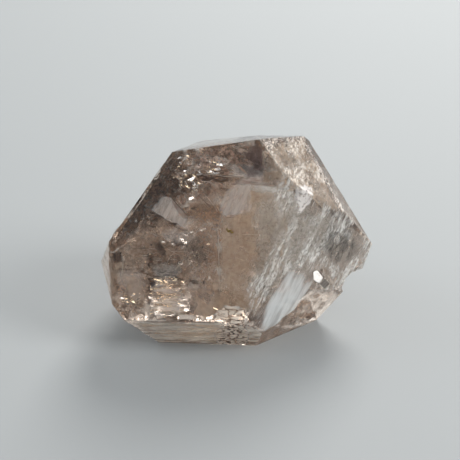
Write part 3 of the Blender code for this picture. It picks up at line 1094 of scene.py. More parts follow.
# %% [markdown]
# ## The skin's own colour
#
# Milk on this stone is never pure white. Pits are brownish, the shoulder is tan, cracks
# between the scales are dark, and the ledges are streaked with brown. One mix for each
# painted number lays these colours over one another. The last one multiplies instead of
# covering: it browns the flakes and the glitter bed, whatever colour they have.

# %% Work out the colour of the skin
PIT_TONES = (0.80, 0.77, 0.72), (1.0, 0.99, 0.96)
HAIRLINE_TONE = (0.50, 0.46, 0.41)
TAN_TONES = (0.96, 0.80, 0.64), (1.0, 0.94, 0.86)
TAN_PIT_TONE = (0.90, 0.79, 0.68)
# Painted light: this pale blue-grey on the window stands in for the floor seen through clear glass; the
# flakes share it under their browning.
PANE_TONE = (0.90, 0.935, 0.93)
SCALE_TONES = (0.22, 0.155, 0.12), (1.0, 0.88, 0.76)
SCAR_TONE = (1.0, 0.95, 0.92)
# The pale end is partly painted light: glints along the foot's bottom edge and glitter in the golden bed.
LEDGE_AND_GLINT_TONES = (0.62, 0.49, 0.38), (1.0, 0.94, 0.83)
BROWNED_TONE = (0.90, 0.72, 0.60)

tone = blend_of(hairline, HAIRLINE_TONE, blend_of(pit_at, *PIT_TONES))
warm = blend_of(noise_of(plain, 1.6), *TAN_TONES)
tone = blend_of(tanned, tone, blend_of(pit_at, TAN_PIT_TONE, warm))
tone = blend_of(pale_pane, tone, PANE_TONE)
tone = blend_of(scaled, tone, blend_of(in_cell, *SCALE_TONES))
tone = blend_of(scarred, tone, SCAR_TONE)
ledge_grain = ramp_of(noise_of(level_lay, 0.5, 4.0, 0.65), 0.42, 0.58)
tone = blend_of(streaked, tone, blend_of(ledge_grain, *LEDGE_AND_GLINT_TONES))
tone = blend_of(warmed, tone, BROWNED_TONE, "MULTIPLY")
print("colour mixes:", sum(one.bl_idname == "ShaderNodeMix" for one in tree.nodes))

# %% [markdown]
# ## Put the skin on
#
# Now the sockets are filled: milk lowers the transmission, frost raises the roughness, and
# a fine grit bumps the etched places. Then the body is made from the skin's arrays. It
# takes the place of the plain crystal, so that there is only one outer surface.

# %% Make the glass body
GRIT_GRAIN, GRIT_HEIGHT = 0.40, 0.10 * MM
CLEAR_ROUGH, FROST_ROUGH = 0.025, 0.14
MILK_TRANSMISSION = 0.26

grit = times(noise_of(lay, GRIT_GRAIN, 3.0, 0.6), frosted)
bump = node(tree, "ShaderNodeBump", Strength=1.0, Distance=GRIT_HEIGHT, Height=grit)
colouring = highest(frosted, pale_pane, scarred, scaled, streaked)
feed(body.inputs["Normal"], bump.outputs["Normal"])
feed(body.inputs["Roughness"], ramp_of(frosted, 0.0, 1.0, CLEAR_ROUGH, FROST_ROUGH))
feed(body.inputs["Transmission Weight"], ramp_of(milky, 0.0, 1.0, 1.0, MILK_TRANSMISSION))
feed(body.inputs["Base Color"], blend_of(colouring, (1.0, 1.0, 1.0), tone))
stone = make_piece("glass_body", skin, triangles, glass, PAINT, group)
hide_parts(NODE)
print("glass body:", len(stone.data.polygons), "faces")

# %% [markdown]
# ## Sheets inside the glass
#
# Most of what is seen in this stone is flat or nearly so: clouds of tiny fluid drops on
# healed cracks, dust on an older growth face, thin flakes of air. Smoke or fog in the
# volume would blur them together and render slowly. A thin, closed lens with a pattern in
# it is quick and keeps its own outline, and light can pass it on its way through. One
# function makes them all, as rings and spokes around a middle point under a named face.

# %% Shape a thin closed lens under a face


def keep_inside(points, margin=0.5):
    """Draw points towards the middle until they lie under every crystal face."""
    rel = points - CENTRE
    share = np.ones(len(rel))
    for normal, reach in PLANES.values():
        share = np.minimum(share, (reach - margin) / np.maximum(rel @ normal, TINY))
    return CENTRE + rel * np.minimum(share, 1.0)[:, None]


def next_round(count, sides):
    """The numbers of points that lie in rings of so many sides, and each one's next in its ring."""
    i = np.arange(count)
    return i, i - i % sides + (i + 1) % sides


def lens(face, corners, depth, tilt, bulge=0.4, ripple=0.25, ragged=0.06, thick=0.06,
         rings=14, spokes=96, seed=1, grain=3.0, stretch=1.0):
    """Places, faces and rim numbers of a thin lens that fills an outline under a face.

    A point is the middle plus ring * reach(spoke angle). Its depth is a plane's, plus a
    bulge that falls off as one less ring squared, plus a cloud. Half the thickness, with
    the same fall-off, is added above and taken away below, so the two skins meet at the rim.
    """
    corners = np.asarray(corners, float)
    middle = corners.mean(0)
    angles = np.arange(spokes) * 2 * math.pi / spokes
    reach = reach_to_outline(angles, corners - middle)
    spoke_at = np.stack((np.cos(angles), np.sin(angles), np.zeros(spokes)), 1)
    reach = reach * (1 + ragged * clouds(spoke_at * 3 + seed, 0.7, seed, 3))
    ring = np.linspace(0, 1, rings + 1)[1:]
    x = ring[:, None] * reach * np.cos(angles)
    y = ring[:, None] * reach * np.sin(angles)
    x, y = np.append(x.ravel(), 0.0), np.append(y.ravel(), 0.0)
    fall = 1 - np.append(np.repeat(ring, spokes), 0.0) ** 2
    down = depth + tilt[0] * x + tilt[1] * y + bulge * fall
    down = down + ripple * cloud(np.stack((x / stretch, y, down * 0 + seed), 1), grain, seed)
    x, y = x + middle[0], y + middle[1]
    upper = on_face(face, x, y, down - thick / 2 * fall)
    lower = on_face(face, x, y, down + thick / 2 * fall)
    count = rings * spokes
    i, j = next_round(spokes, spokes)
    fan = np.stack((np.full(spokes, count), i, j, j), 1)
    i, j = next_round(count - spokes, spokes)
    top = np.concatenate((fan, np.stack((i, i + spokes, j + spokes, j), 1)))
    shift = count + 1
    rim_ring = np.arange(count - spokes, count)
    same = np.arange(2 * shift)
    same[rim_ring + shift] = rim_ring
    faces = same[np.concatenate((top, top[:, ::-1] + shift))]
    return keep_inside(np.concatenate((upper, lower))), faces, np.tile(1 - np.sqrt(1 - fall), 2)


def lens_piece(name, material, **shape):
    """A lens as a piece. Its fans are quads with one corner doubled, so they are cut up."""
    spots, quads, inwards = lens(**shape)
    tris = np.concatenate((quads[:, (0, 1, 2)], quads[:, (0, 2, 3)]))
    used, tris = np.unique(tris[proper(tris)], return_inverse=True)
    return make_piece(name, spots[used], tris.reshape(-1, 3), material, {"inwards": inwards[used]})


print("each point's next in two rings of three:", next_round(6, 3)[1])

# %% [markdown]
# ## The finish of a veil
#
# A veil is a scatter of tiny drops and grains: some light passes between them, some is
# thrown back, and some glows through. So its shader is a Transparent one mixed with a
# Diffuse and a Translucent one, and the mix is a pattern of noise in the stone's own
# coordinates. The pattern dies out at the rim of the lens, with a ragged edge.

# %% Make a veil finish
TILE_SHAKE = 1.3 * MM


def bare_material(name):
    """A new material with only its output left."""
    material = bpy.data.materials.new(name)
    material.use_nodes = True
    material.node_tree.nodes.remove(material.node_tree.nodes["Principled BSDF"])
    return material


def veil_finish(name, pale, dark, cover, grain=2.5, fine=0.5, open_at=0.35, soft=0.25, fade=0.25,
                glow=0.5, mosaic=0.0, lines=0.0, lay=None):
    """A see-through scatter: it covers where coarse noise passes open_at, and fine noise colours it.

    A mosaic breaks it into angular cells of that size in mm, each with its own strength.
    Lines keep only the places where the coarse noise is within that much of one half.
    A lay is a face, a spin and a squeeze that draw all of it out into streaks.
    """
    material = bare_material(name)
    tree = material.node_tree
    place = stone_place(tree)
    if lay:
        place = streaks(place, *lay)
    coarse = noise_of(place, grain, 3.0)
    small = noise_of(place, fine, 5.0, 0.7)
    spread = calculate("SUBTRACT", small, 0.5)
    share = ramp_of(calculate("ADD", coarse, times(spread, 0.5)), open_at - soft, open_at + soft)
    if lines:
        some = ramp_of(noise_of(place, 1.6 * grain), 0.42, 0.58)
        share = times(some, ramp_of(off_middle(coarse), 0.2 * lines, lines, 1.0, 0.0))
    tint = ramp_of(small, 0.38, 0.62)
    if mosaic:
        stirred = shaken(place, 1.3 / MM / mosaic, TILE_SHAKE, Detail=5.0, Roughness=0.7)
        tiles = node(tree, "ShaderNodeTexVoronoi", Vector=stirred, Scale=1 / MM / mosaic)
        parts = node(tree, "ShaderNodeSeparateXYZ", tiles.outputs["Color"])
        share = times(share, ramp_of(parts.outputs["X"], 0.15, 0.75, 0.45, 1.2))
        tint = times(tint, ramp_of(parts.outputs["Y"], 0.1, 0.8, 0.5, 1.3))
    edge = calculate("ADD", attribute_of(tree, "inwards"), times(spread, fade))
    share = times(share, ramp_of(edge, 0.0, fade, 0.0, cover))
    colour = blend_of(tint, dark, pale)
    thrown = node(tree, "ShaderNodeBsdfDiffuse", Color=colour)
    through = node(tree, "ShaderNodeBsdfTranslucent", Color=colour)
    both = node(tree, "ShaderNodeMixShader", glow, thrown.outputs[0], through.outputs[0])
    clear = node(tree, "ShaderNodeBsdfTransparent")
    veiled = node(tree, "ShaderNodeMixShader", share, clear.outputs[0], both.outputs[0])
    feed(tree.nodes["Material Output"].inputs["Surface"], veiled.outputs[0])
    return material


print("materials so far:", [material.name for material in bpy.data.materials])

# %% [markdown]
# ## A shelf of finishes
#
# The veils differ in grain, colour and cover, so each finish is one row of values. A pale
# and a dark colour are the two ends of its fine noise. The cover is how much it hides at
# the most. Sizes are in mm.

# %% Mix the finishes
LEVEL, FALLING, SLANTING = ("front", 0, 0.22), ("front", -32, 0.35), ("right", 60, 0.25)  # lays
FINISHES = {name: veil_finish(name, **look) for name, look in {
    "centre_soft": dict(pale=(1.0, 0.90, 0.78), dark=(0.84, 0.71, 0.58), cover=0.72, grain=6.0, fine=1.6,
                        open_at=0.30, soft=0.34, fade=0.55, mosaic=6.0),
    "flake_film": dict(pale=(1.0, 0.97, 0.95), dark=(0.84, 0.74, 0.68), cover=0.93, grain=2.4, fine=1.1,
                       open_at=0.14, soft=0.30, fade=0.08, glow=0.6),
    "speckle": dict(pale=(0.90, 0.77, 0.66), dark=(0.07, 0.047, 0.035), cover=0.74, grain=1.0, fine=0.3,
                    open_at=0.47, soft=0.06, fade=0.6),
    "blue_lens": dict(pale=(0.92, 0.92, 0.88), dark=(0.56, 0.56, 0.52), cover=0.58, grain=1.6, fine=0.5,
                      open_at=0.36, soft=0.2, fade=0.12),
    "amber_shade": dict(pale=(0.95, 0.72, 0.59), dark=(0.24, 0.16, 0.115), cover=0.70, grain=2.6, fine=0.6,
                        open_at=0.30, soft=0.24, fade=0.6, mosaic=1.8),
    "foot_milk": dict(pale=(1.0, 0.98, 0.93), dark=(0.84, 0.74, 0.63), cover=0.92, grain=2.4, fine=0.7,
                      open_at=0.26, soft=0.25, fade=0.25, glow=0.65, lay=LEVEL),
    "centre_milk": dict(pale=(1.0, 0.89, 0.77), dark=(0.80, 0.66, 0.53), cover=0.46, grain=5.0, fine=0.9,
                        open_at=0.28, soft=0.30, fade=0.10),
    "brown_cloud": dict(pale=(0.80, 0.60, 0.45), dark=(0.38, 0.25, 0.17), cover=0.55, grain=3.0, fine=0.6,
                        open_at=0.42, soft=0.22, fade=0.5),
    "dusk": dict(pale=(0.25, 0.17, 0.165), dark=(0.11, 0.07, 0.072), cover=0.58, grain=4.0, fine=0.9,
                 open_at=0.25, soft=0.25, fade=0.45),
    "gold_mottle": dict(pale=(0.98, 0.78, 0.58), dark=(0.15, 0.095, 0.065), cover=0.60, grain=1.8, fine=0.7,
                        open_at=0.46, soft=0.12, fade=0.7, mosaic=1.2),
    "grey_mottle": dict(pale=(1.0, 0.88, 0.78), dark=(0.32, 0.235, 0.175), cover=0.44, grain=2.2, fine=0.9,
                        open_at=0.46, soft=0.14, fade=0.4, mosaic=1.5),
    "lilac_film": dict(pale=(1.0, 0.94, 0.92), dark=(0.60, 0.48, 0.43), cover=0.62, grain=2.0, fine=0.6,
                       open_at=0.34, soft=0.22, fade=0.35, glow=0.6, lay=LEVEL),
    # Partly painted light: this veil's pale cream brightens the glitter patch and stands in for the glare of
    # light gathered there.
    "glitter_bed": dict(pale=(1.0, 0.97, 0.88), dark=(0.70, 0.53, 0.38), cover=0.50, grain=1.2, fine=0.35,
                        open_at=0.42, soft=0.14, fade=0.3, glow=0.65, mosaic=0.9, lay=LEVEL),
    "grey_haze": dict(pale=(0.95, 0.94, 0.91), dark=(0.66, 0.64, 0.60), cover=0.50, grain=3.0, fine=0.5,
                      open_at=0.36, soft=0.22, fade=0.3),
    "shoulder_haze": dict(pale=(1.0, 0.93, 0.84), dark=(0.72, 0.60, 0.49), cover=0.75, grain=2.4, fine=0.45,
                          open_at=0.30, soft=0.22, fade=0.15, mosaic=2.2),
    "edge_brown": dict(pale=(0.40, 0.28, 0.21), dark=(0.08, 0.05, 0.04), cover=0.80, grain=1.9, fine=0.7,
                       open_at=0.36, soft=0.16, fade=0.6),
    "wisp": dict(pale=(1.0, 0.95, 0.90), dark=(0.95, 0.76, 0.62), cover=0.90, grain=3.0, fine=0.8,
                 lines=0.05, fade=0.35, glow=0.55, lay=FALLING),
    "dark_wisp": dict(pale=(0.30, 0.20, 0.15), dark=(0.08, 0.05, 0.04), cover=0.75, grain=3.0, fine=0.8,
                      lines=0.024, fade=0.35, lay=LEVEL),
    "faint_wisp": dict(pale=(1.0, 0.92, 0.84), dark=(0.45, 0.34, 0.27), cover=0.42, grain=3.4, fine=1.0,
                       lines=0.016, fade=0.3),
    "blots": dict(pale=(0.34, 0.24, 0.18), dark=(0.10, 0.065, 0.05), cover=0.58, grain=2.4, fine=0.5,
                  open_at=0.60, soft=0.06, fade=0.4),
    "slant_lines": dict(pale=(0.30, 0.27, 0.24), dark=(0.07, 0.06, 0.05), cover=0.70, grain=1.6, fine=0.5,
                        lines=0.035, fade=0.4, lay=SLANTING),
    "nose_shade": dict(pale=(0.66, 0.62, 0.57), dark=(0.10, 0.09, 0.08), cover=0.66, grain=1.1, fine=0.4,
                       open_at=0.46, soft=0.10, fade=0.5, lay=SLANTING),
    "deep_haze": dict(pale=(0.98, 0.82, 0.69), dark=(0.56, 0.42, 0.32), cover=0.46, grain=4.0, fine=0.7,
                      open_at=0.32, soft=0.2, fade=0.4, mosaic=4.0),
}.items()}
print("finishes:", len(FINISHES))

# %% [markdown]
# ## Where the veils lie
#
# Each veil is a row: its finish, the face that it lies under, how deep its middle is in
# mm, how it tilts, and its outline. The large ones make the tone of a whole region. The
# small ones near the skin are the marks that the eye goes to first.

# %% Hang the veils
VEILS = {  # finish, face, depth, tilt, outline (across, up)
    "deep_veil": ("deep_haze", "front", 13.0, (0.12, 0.1), (
        (-20, 2), (-13, 13), (-4, 17), (6, 15), (10, 4), (8, -9), (2, -16), (-12, -15), (-20, -8))),
    "centre_veil": ("centre_milk", "front", 4.5, (0.05, 0.0), (
        (-1.7, 10.6), (-1.2, -14), (0.4, -18), (7, -16), (12, -6), (13, 4), (12, 11), (4, 12.5))),
    "centre_glow": ("centre_soft", "front", 7.5, (0.05, 0.0), (
        (-1.9, 10), (-1.5, -13), (-1, -19.5), (8, -18), (13, -8), (15, 2), (14, 11), (5, 13.5))),
    "speckle_patch": ("speckle", "front", 1.5, (0.0, 0.0), (
        (-9.4, 1.0), (-6.0, 1.6), (-3.2, 0.4), (-3.4, -6.4), (-6.6, -7.6), (-9.6, -4.4))),
    "arc_lens": ("blue_lens", "front", 2.3, (0.0, 0.0), (
        (-16.3, -6.6), (-13.4, -5.2), (-10.4, -5.6), (-9.2, -7.4), (-11.4, -9.0), (-14.8, -9.0))),
    "crest_shade": ("amber_shade", "front", 5.0, (0.0, 0.06), (
        (-17, 6), (-13.5, 13), (-10, 18), (-2, 19.5), (4, 18), (3, 12), (-2, 8), (-9, 7), (-13, 3))),
    "rim_haze": ("edge_brown", "front", 2.7, (0.0, 0.0), (
        (-23, 1.5), (-18, 9), (-13, 16), (-8, 17.5), (-6.5, 12), (-11, 7.5), (-15, 2.0), (-19, -1))),
    "brown_column": ("brown_cloud", "front", 3.6, (0.0, 0.05), (
        (-8.0, 10), (-0.6, 11.5), (0.0, -3), (-0.6, -16), (-6.4, -17), (-8.4, 0))),
    "dusk_corner": ("dusk", "front", 1.6, (0.0, 0.0), (
        (1.5, 20.4), (6.2, 22.0), (9.6, 17.6), (12.6, 12.8), (8.4, 13.8), (4.0, 13.4), (1.0, 15.0))),
    "pale_flake": ("flake_film", "front", 3.0, (0.05, 0.05), (
        (1.2, 11.1), (4.0, 10.3), (4.7, 7.0), (3.2, 6.1), (1.9, 5.1), (-0.3, 4.8), (-1.6, 6.6),
        (-0.7, 8.8))),
    "lilac_flake": ("flake_film", "front", 2.1, (0.05, 0.0), (
        (-13.6, 9.2), (-12.0, 8.9), (-10.0, 6.8), (-8.2, 4.7), (-9.0, 2.2), (-10.2, 2.2), (-13.5, 4.4),
        (-16.3, 5.9), (-14.6, 7.2))),
    "edge_shade": ("edge_brown", "front", 0.9, (0.0, 0.0), (
        (-13.5, 21.5), (-7.0, 21.5), (-8.0, 17.5), (-11.0, 15.5), (-13.0, 9.5), (-17.5, 7.0), (-19.5, 0.0),
        (-24, -5), (-28, -4), (-25, 4), (-20, 13))),
    "crest_mottle": ("gold_mottle", "front", 2.2, (0.1, 0.1), (
        (-11, 17), (0, 19), (2, 14), (0, 10), (-7, 9), (-13, 11))),
    "crest_deep": ("gold_mottle", "front", 6.0, (0.0, 0.1), (
        (-14, 13), (-4, 18), (3, 17), (1, 10), (-8, 8))),
    "left_haze": ("deep_haze", "front", 2.8, (0.0, 0.0), (
        (-24, -3), (-20, 3), (-14, 8), (-6, 4), (-5, -9), (-9, -18), (-20, -17), (-24.5, -10))),
    "left_deep": ("grey_mottle", "front", 7.0, (0.0, 0.0), (
        (-24, -4), (-16, 6), (-8, 6), (-5, -8), (-10, -17), (-20, -16), (-24.5, -10))),
    "left_mottle": ("grey_mottle", "front", 4.0, (0.0, -0.1), (
        (-23, -1), (-15, 4), (-8, 3), (-5.5, -3), (-7, -9), (-14, -9), (-22, -9))),
    "glitter_veil": ("glitter_bed", "front", 2.4, (0.0, 0.1), (
        (-16.4, -10), (-13.3, -9.4), (-8.7, -9.7), (-9.1, -14), (-7.7, -17.6), (-17.0, -18.2),
        (-16.8, -14.2))),
    "low_left_veil": ("brown_cloud", "front", 3.5, (0.0, 0.0), (
        (-23.5, -8), (-17, -8), (-17, -17), (-21, -17), (-24, -12))),
    "low_centre_veil": ("centre_soft", "front", 2.4, (0.0, 0.0), (
        (-9, -9), (-1.4, -8), (3, -13), (3, -19), (-7.5, -19.4), (-9.5, -14))),
    "right_veil": ("grey_haze", "right", 3.0, (0.04, 0.0), (
        (0, 12), (10, 13), (21, 3), (22, -1), (14, -5), (10, -7), (5, -8), (1, -14), (-2, -8))),
    "shoulder_veil": ("shoulder_haze", "shoulder", 1.2, (0.0, 0.03), (
        (-1, 12), (11, 10), (12, 2), (9, -8.5), (5.5, -6), (3.5, -1), (-2, 2), (-4, 7))),
    "foot_veil": ("foot_milk", "foot", 1.4, (0.0, 0.0), (
        (-21, -7.5), (-10, -7), (0, -7), (0, -13), (-6, -14.6), (-15, -14), (-19, -11))),
    "crest_skin": ("amber_shade", "front", 1.3, (0.0, 0.0), (
        (-10.5, 18.6), (-2, 21), (5, 23), (5.5, 16.5), (-2, 15), (-9, 14.5))),
    "tan_patch": ("centre_soft", "front", 1.8, (0.0, 0.0), (
        (-22.6, -7.6), (-17.4, -7.8), (-16.8, -14), (-19, -17), (-22.8, -14))),
    "low_left_edge": ("brown_cloud", "front", 1.2, (0.0, 0.0), (
        (-25.6, -8), (-22, -10), (-19, -16.4), (-15, -18.6), (-20, -18.8), (-24, -14))),
    "foot_corner": ("brown_cloud", "foot", 0.9, (0.0, 0.0), (
        (-20.4, -9), (-16.5, -8.6), (-13, -12), (-13, -15), (-17, -13.6))),
    "crest_wisps": ("wisp", "front", 1.4, (0.0, 0.0), (
        (-15, 13), (-11, 18.5), (-2, 20.5), (6, 21), (7, 15), (-1, 10.5), (-8, 8.5), (-13, 9))),
    "crest_lines": ("dark_wisp", "front", 2.0, (0.0, 0.0), (
        (-17, 9), (-11, 18), (-2, 20), (5, 20), (3, 12), (-2, 7), (-8, 5), (-15, 5))),
    "left_lines": ("dark_wisp", "front", 1.7, (0.0, 0.0), (
        (-24, -3), (-20, 3), (-14, 8), (-6, 5), (-3.5, -6), (-5, -12), (-9, -18), (-20, -17),
        (-24.5, -10))),
    "left_wisps": ("faint_wisp", "front", 1.3, (0.0, 0.0), (
        (-24, -3), (-20, 3), (-14, 8), (-2, 6), (-2, -12), (-9, -18), (-20, -17), (-24.5, -10))),
    "left_blots": ("blots", "front", 1.9, (0.0, 0.0), (
        (-18, 1), (-12, 2.5), (-3.4, 1), (-2.6, -6), (-7, -9.5), (-17, -8))),
    "centre_wisps": ("faint_wisp", "front", 1.8, (0.0, 0.0), (
        (-2, 13), (0, -16), (6, -15), (10, -6), (12, 4), (12, 12), (5, 15))),
    "arc_flake": ("lilac_film", "front", 2.2, (0.0, 0.0), (
        (0.1, 12.2), (3.8, 14.2), (8.2, 14.8), (13.1, 13.4), (13.8, 11.4), (8.8, 11.8), (4.0, 12.0))),
    "nose_veil": ("nose_shade", "right", 1.2, (0.0, 0.0), (
        (13.6, 1.5), (16.5, 4.0), (19, 4.8), (22.5, 2.5), (25.5, -2.5), (25, -6.5), (20.4, -8.5),
        (17, -6.0), (14.4, -3))),
    "right_lines": ("slant_lines", "right", 0.9, (0.0, 0.0), (
        (6, 7), (11, 9), (17, 5), (24, -1), (25, -6.5), (20.4, -8.5), (16, -6.0), (11, -4), (6, -3))),
    "smudge_high": ("edge_brown", "front", 1.0, (0.0, 0.0), (
        (-16.2, -0.6), (-14.6, -0.4), (-12.5, -3.2), (-13.3, -4.7), (-15.1, -3.1))),
    "smudge_tall": ("edge_brown", "front", 1.0, (0.0, 0.0), (
        (-17.2, -3.2), (-15.8, -3.0), (-15.6, -6.2), (-17.0, -6.4))),
    "smudge_left": ("edge_brown", "front", 1.0, (0.0, 0.0), (
        (-25.4, -3.0), (-22.3, -2.8), (-22.1, -5.8), (-24.9, -6.8))),
    "smudge_right": ("speckle", "front", 1.1, (0.0, 0.0), (
        (-9.4, -0.2), (-6.6, 0.8), (-4.0, -1.6), (-3.2, -5.2), (-6.2, -6.4), (-8.8, -3.6))),
    "under_right_veil": ("deep_haze", "right_foot", 1.5, (0.0, 0.0), (
        (1.5, -1.2), (7, -0.8), (13.2, -1.0), (15.8, -1.8), (16, -5.5), (12.6, -9), (8, -10.4), (3.5, -9.6),
        (0.9, -5))),
}
VEIL_SEED = 31
for number_at, (name, (finish, face, depth, tilt, corners)) in enumerate(VEILS.items()):
    lens_piece(name, FINISHES[finish], face=face, corners=corners, depth=depth, tilt=tilt,
               seed=VEIL_SEED + number_at)
print("veils:", len(VEILS))

# %% [markdown]
# ## Air films
#
# A fresh crack holds a film of air thinner than a hair. Light that meets it at a slant is
# thrown back completely, so the film turns into a bright mirror. Its shader is glass seen
# from the inside out: an index of one over the quartz's own. Each film is a lens with
# ripples, and the steep ones lie level, so that they catch the light from behind.

# %% Lay the films
AIR_ROUGH = 0.20
air = bare_material("air_film")
gap = node(air.node_tree, "ShaderNodeBsdfGlass", Roughness=AIR_ROUGH, IOR=1 / QUARTZ_INDEX)
feed(air.node_tree.nodes["Material Output"].inputs["Surface"], gap.outputs[0])
FILMS = {  # height over the base, slope to the right and to the front, ripple, grain, stretch, outline
    "glitter_film": (8.6, (0.22, -0.17), 0.11, 0.8, 2.4, (
        (-17, 15.2), (-13, 15.6), (-8.8, 15.2), (-8.6, 9), (-9, 2), (-16.6, 2), (-17.4, 9))),
    "block_film": (12.5, (0.22, -0.18), 0.03, 1.0, 2.0, (
        (-16.7, 8.4), (-14.0, 7.9), (-13.8, 11.0), (-16.4, 11.5))),
    "scale_film": (5.6, (0.0, 0.06), 0.20, 0.9, 1.0, (
        (-2.4, 14.5), (3.4, 14.0), (3.8, 9.6), (-2.8, 10))),
    "glint_film": (10.0, (0.2, -0.28), 0.02, 3.0, 1.0, (
        (16.4, -2.4), (19.0, -2.6), (20.4, 4.0), (18.4, 5.8))),
    "bar_film": (10.0, (0.2, -0.26), 0.10, 0.8, 0.35, (
        (19.0, 4.6), (20.9, 4.3), (22.4, 8.6), (20.4, 9.0))),
    "foot_film": (1.6, (0.0, -0.06), 0.16, 1.0, 2.5, (
        (-14, 13), (-5, 13.6), (-4, 11.8), (-13, 11.4))),
}
FILM = dict(face="base", bulge=0.2, thick=0.12, ragged=0.12, rings=36, spokes=150)
FILM_SEED = 71
for number_at, (name, (depth, tilt, ripple, grain, stretch, corners)) in enumerate(FILMS.items()):
    lens_piece(name, air, corners=corners, depth=depth, tilt=tilt, ripple=ripple, grain=grain,
               stretch=stretch, seed=FILM_SEED + number_at, **FILM)
print("films:", len(FILMS))

# %% [markdown]
# ## Chips of air
#
# Around the big films the crack has closed again and left small flat chips of air. Each
# flashes only when it happens to lie right, so a swarm of them sparkles as the stone is
# turned. A chip is a thin six-sided plate; a swarm is one array of plates, each with its
# own place, size and lean. Its rim is cut off sharply from its two flat sides, since one
# smooth skin over both would bend the light that a flat film throws back.

# %% Scatter the chips
CHIP_SIDES = 6
CHIP_LOOK = (0.0, -0.22, 1.0)  # up, and a little to the front


def in_front(spots):
    """Places under the front face, from across, up and depth."""
    return on_face("front", *np.asarray(spots, float).T)


def dice(count, sorts, seed):
    """One row of random shares from 0 to 1 for each thing, with so many sorts in it."""
    index = np.arange(count)
    return np.stack([scatter(np.stack((index, index * 0, index * 0 + k), -1), seed + k)
                     for k in range(sorts)], -1)


def swarm(groups, seed):
    """Places gathered round a few middles, thinning outwards: two random shares added up."""
    middles, spreads, counts = (np.array(part) for part in zip(*groups))
    which = np.repeat(np.arange(len(counts)), counts)
    index = np.arange(len(which))
    share = [np.stack([scatter(np.stack((index, index * 0 + k, which), -1), seed + 10 * throw + k)
                       for k in range(3)], -1) for throw in range(2)]
    return in_front(middles[which] + (share[0] + share[1] - 1) * spreads[which])


def chips(places, size, lean, thick, seed, looking=CHIP_LOOK, round_share=0.8, across=(0.0, 1.0, 0.0)):
    """Six-sided plates at places, of a size in mm, that look one way give or take a random lean.

    Their long side lies across both the way they look and the direction called across.
    """
    count, roll = len(places), dice(len(places), 5, seed)
    up = np.stack((lean[0] * (roll[:, 0] - 0.5), lean[1] * (roll[:, 1] - 0.5), 0 * roll[:, 0]), 1)
    up = up + np.array(looking)
    up /= np.linalg.norm(up, axis=1, keepdims=True)
    along = np.cross(up, across)
    along /= np.linalg.norm(along, axis=1, keepdims=True)
    over = np.cross(up, along)
    angle = (np.arange(CHIP_SIDES) + roll[:, 2:3]) * 2 * math.pi / CHIP_SIDES
    wide = size * (0.45 + roll[:, 3:4]) * (1 + 0.35 * np.sin(angle * 2 + 5 * roll[:, 4:5]))
    ring = (along[:, None] * (wide * np.cos(angle))[..., None]
            + over[:, None] * (round_share * wide * np.sin(angle))[..., None]) + places[:, None]
    spots = np.concatenate((ring + up[:, None] * thick / 2, ring - up[:, None] * thick / 2), 1)
    fan = np.arange(1, CHIP_SIDES - 1)
    i, j = next_round(CHIP_SIDES, CHIP_SIDES)
    faces = np.concatenate((
        np.stack((fan * 0, fan, fan + 1), 1), np.stack((fan * 0, fan + 1, fan), 1) + CHIP_SIDES,
        np.stack((i, i + CHIP_SIDES, j + CHIP_SIDES), 1), np.stack((i, j + CHIP_SIDES, j), 1)))
    faces = faces[None] + 2 * CHIP_SIDES * np.arange(count)[:, None, None]
    return keep_inside(spots.reshape(-1, 3)), faces.reshape(-1, 3)


def flat_sides(count):
    """Group numbers for a swarm's faces: upper side, lower side, rim. Groups meet in sharp edges."""
    return np.tile(np.repeat((0, 1, 2), (CHIP_SIDES - 2, CHIP_SIDES - 2, 2 * CHIP_SIDES)), count)


AIR_SWARMS = (  # middle and spread (across, up, depth under the front), number of chips
    ((-6.5, 14.5, 4.0), (6.0, 4.0, 3.0), 34), ((-8.0, 11.5, 3.0), (3.0, 3.0, 2.0), 12),
    ((-14.0, -1.0, 5.0), (9.0, 7.0, 4.0), 30), ((-21.0, -15.0, 3.0), (2.6, 2.4, 2.0), 14),
    ((-12.5, -13.5, 4.0), (4.5, 5.0, 3.0), 44), ((-3.4, -11.0, 4.0), (1.8, 4.0, 2.0), 10),
    ((-9.5, -20.0, 6.0), (5.0, 1.6, 2.0), 10), ((15.5, -6.0, 5.0), (2.4, 3.0, 2.0), 10),
    ((0.0, 0.0, 20.0), (24.0, 18.0, 14.0), 46),
)
AIR_CHIP = dict(size=0.52, lean=(0.7, 0.3), thick=0.05, seed=52)
chip_at = swarm(AIR_SWARMS, 51)
make_piece("air_chips", *chips(chip_at, **AIR_CHIP), air, groups=flat_sides(len(chip_at)))
print("chips:", len(chip_at))

# %% [markdown]
# ## Threads
#
# Fine lines run through the stone: needles of another mineral, and the edges of old
# cracks, which look dark where they bend light away and pale where they catch it. A thread
# is a small round profile carried along a smooth path, with both ends drawn to a point.
# Blender's own bevelled curves would do for the shape, but here they share one mesh.

# %% Shape a thread
THREAD_SIDES, THREAD_STEPS = 6, 40
ASKEW = (0.31, 0.57, 0.76)  # a direction that no thread runs along


def smooth_path(knots):
    """A path through knots by Catmull-Rom: each span is a cubic of its four nearest knots."""
    knots = np.asarray(knots, float)
    padded = np.concatenate((2 * knots[:1] - knots[1:2], knots, 2 * knots[-1:] - knots[-2:-1]))
    t = np.linspace(0, len(knots) - 1, THREAD_STEPS)
    span = np.minimum(t.astype(int), len(knots) - 2)
    f = (t - span)[:, None]
    a, b, c, d = (padded[span + k] for k in range(4))
    return 0.5 * (2 * b + (c - a) * f + (2 * a - 5 * b + 4 * c - d) * f**2 + (3 * b - a - 3 * c + d) * f**3)


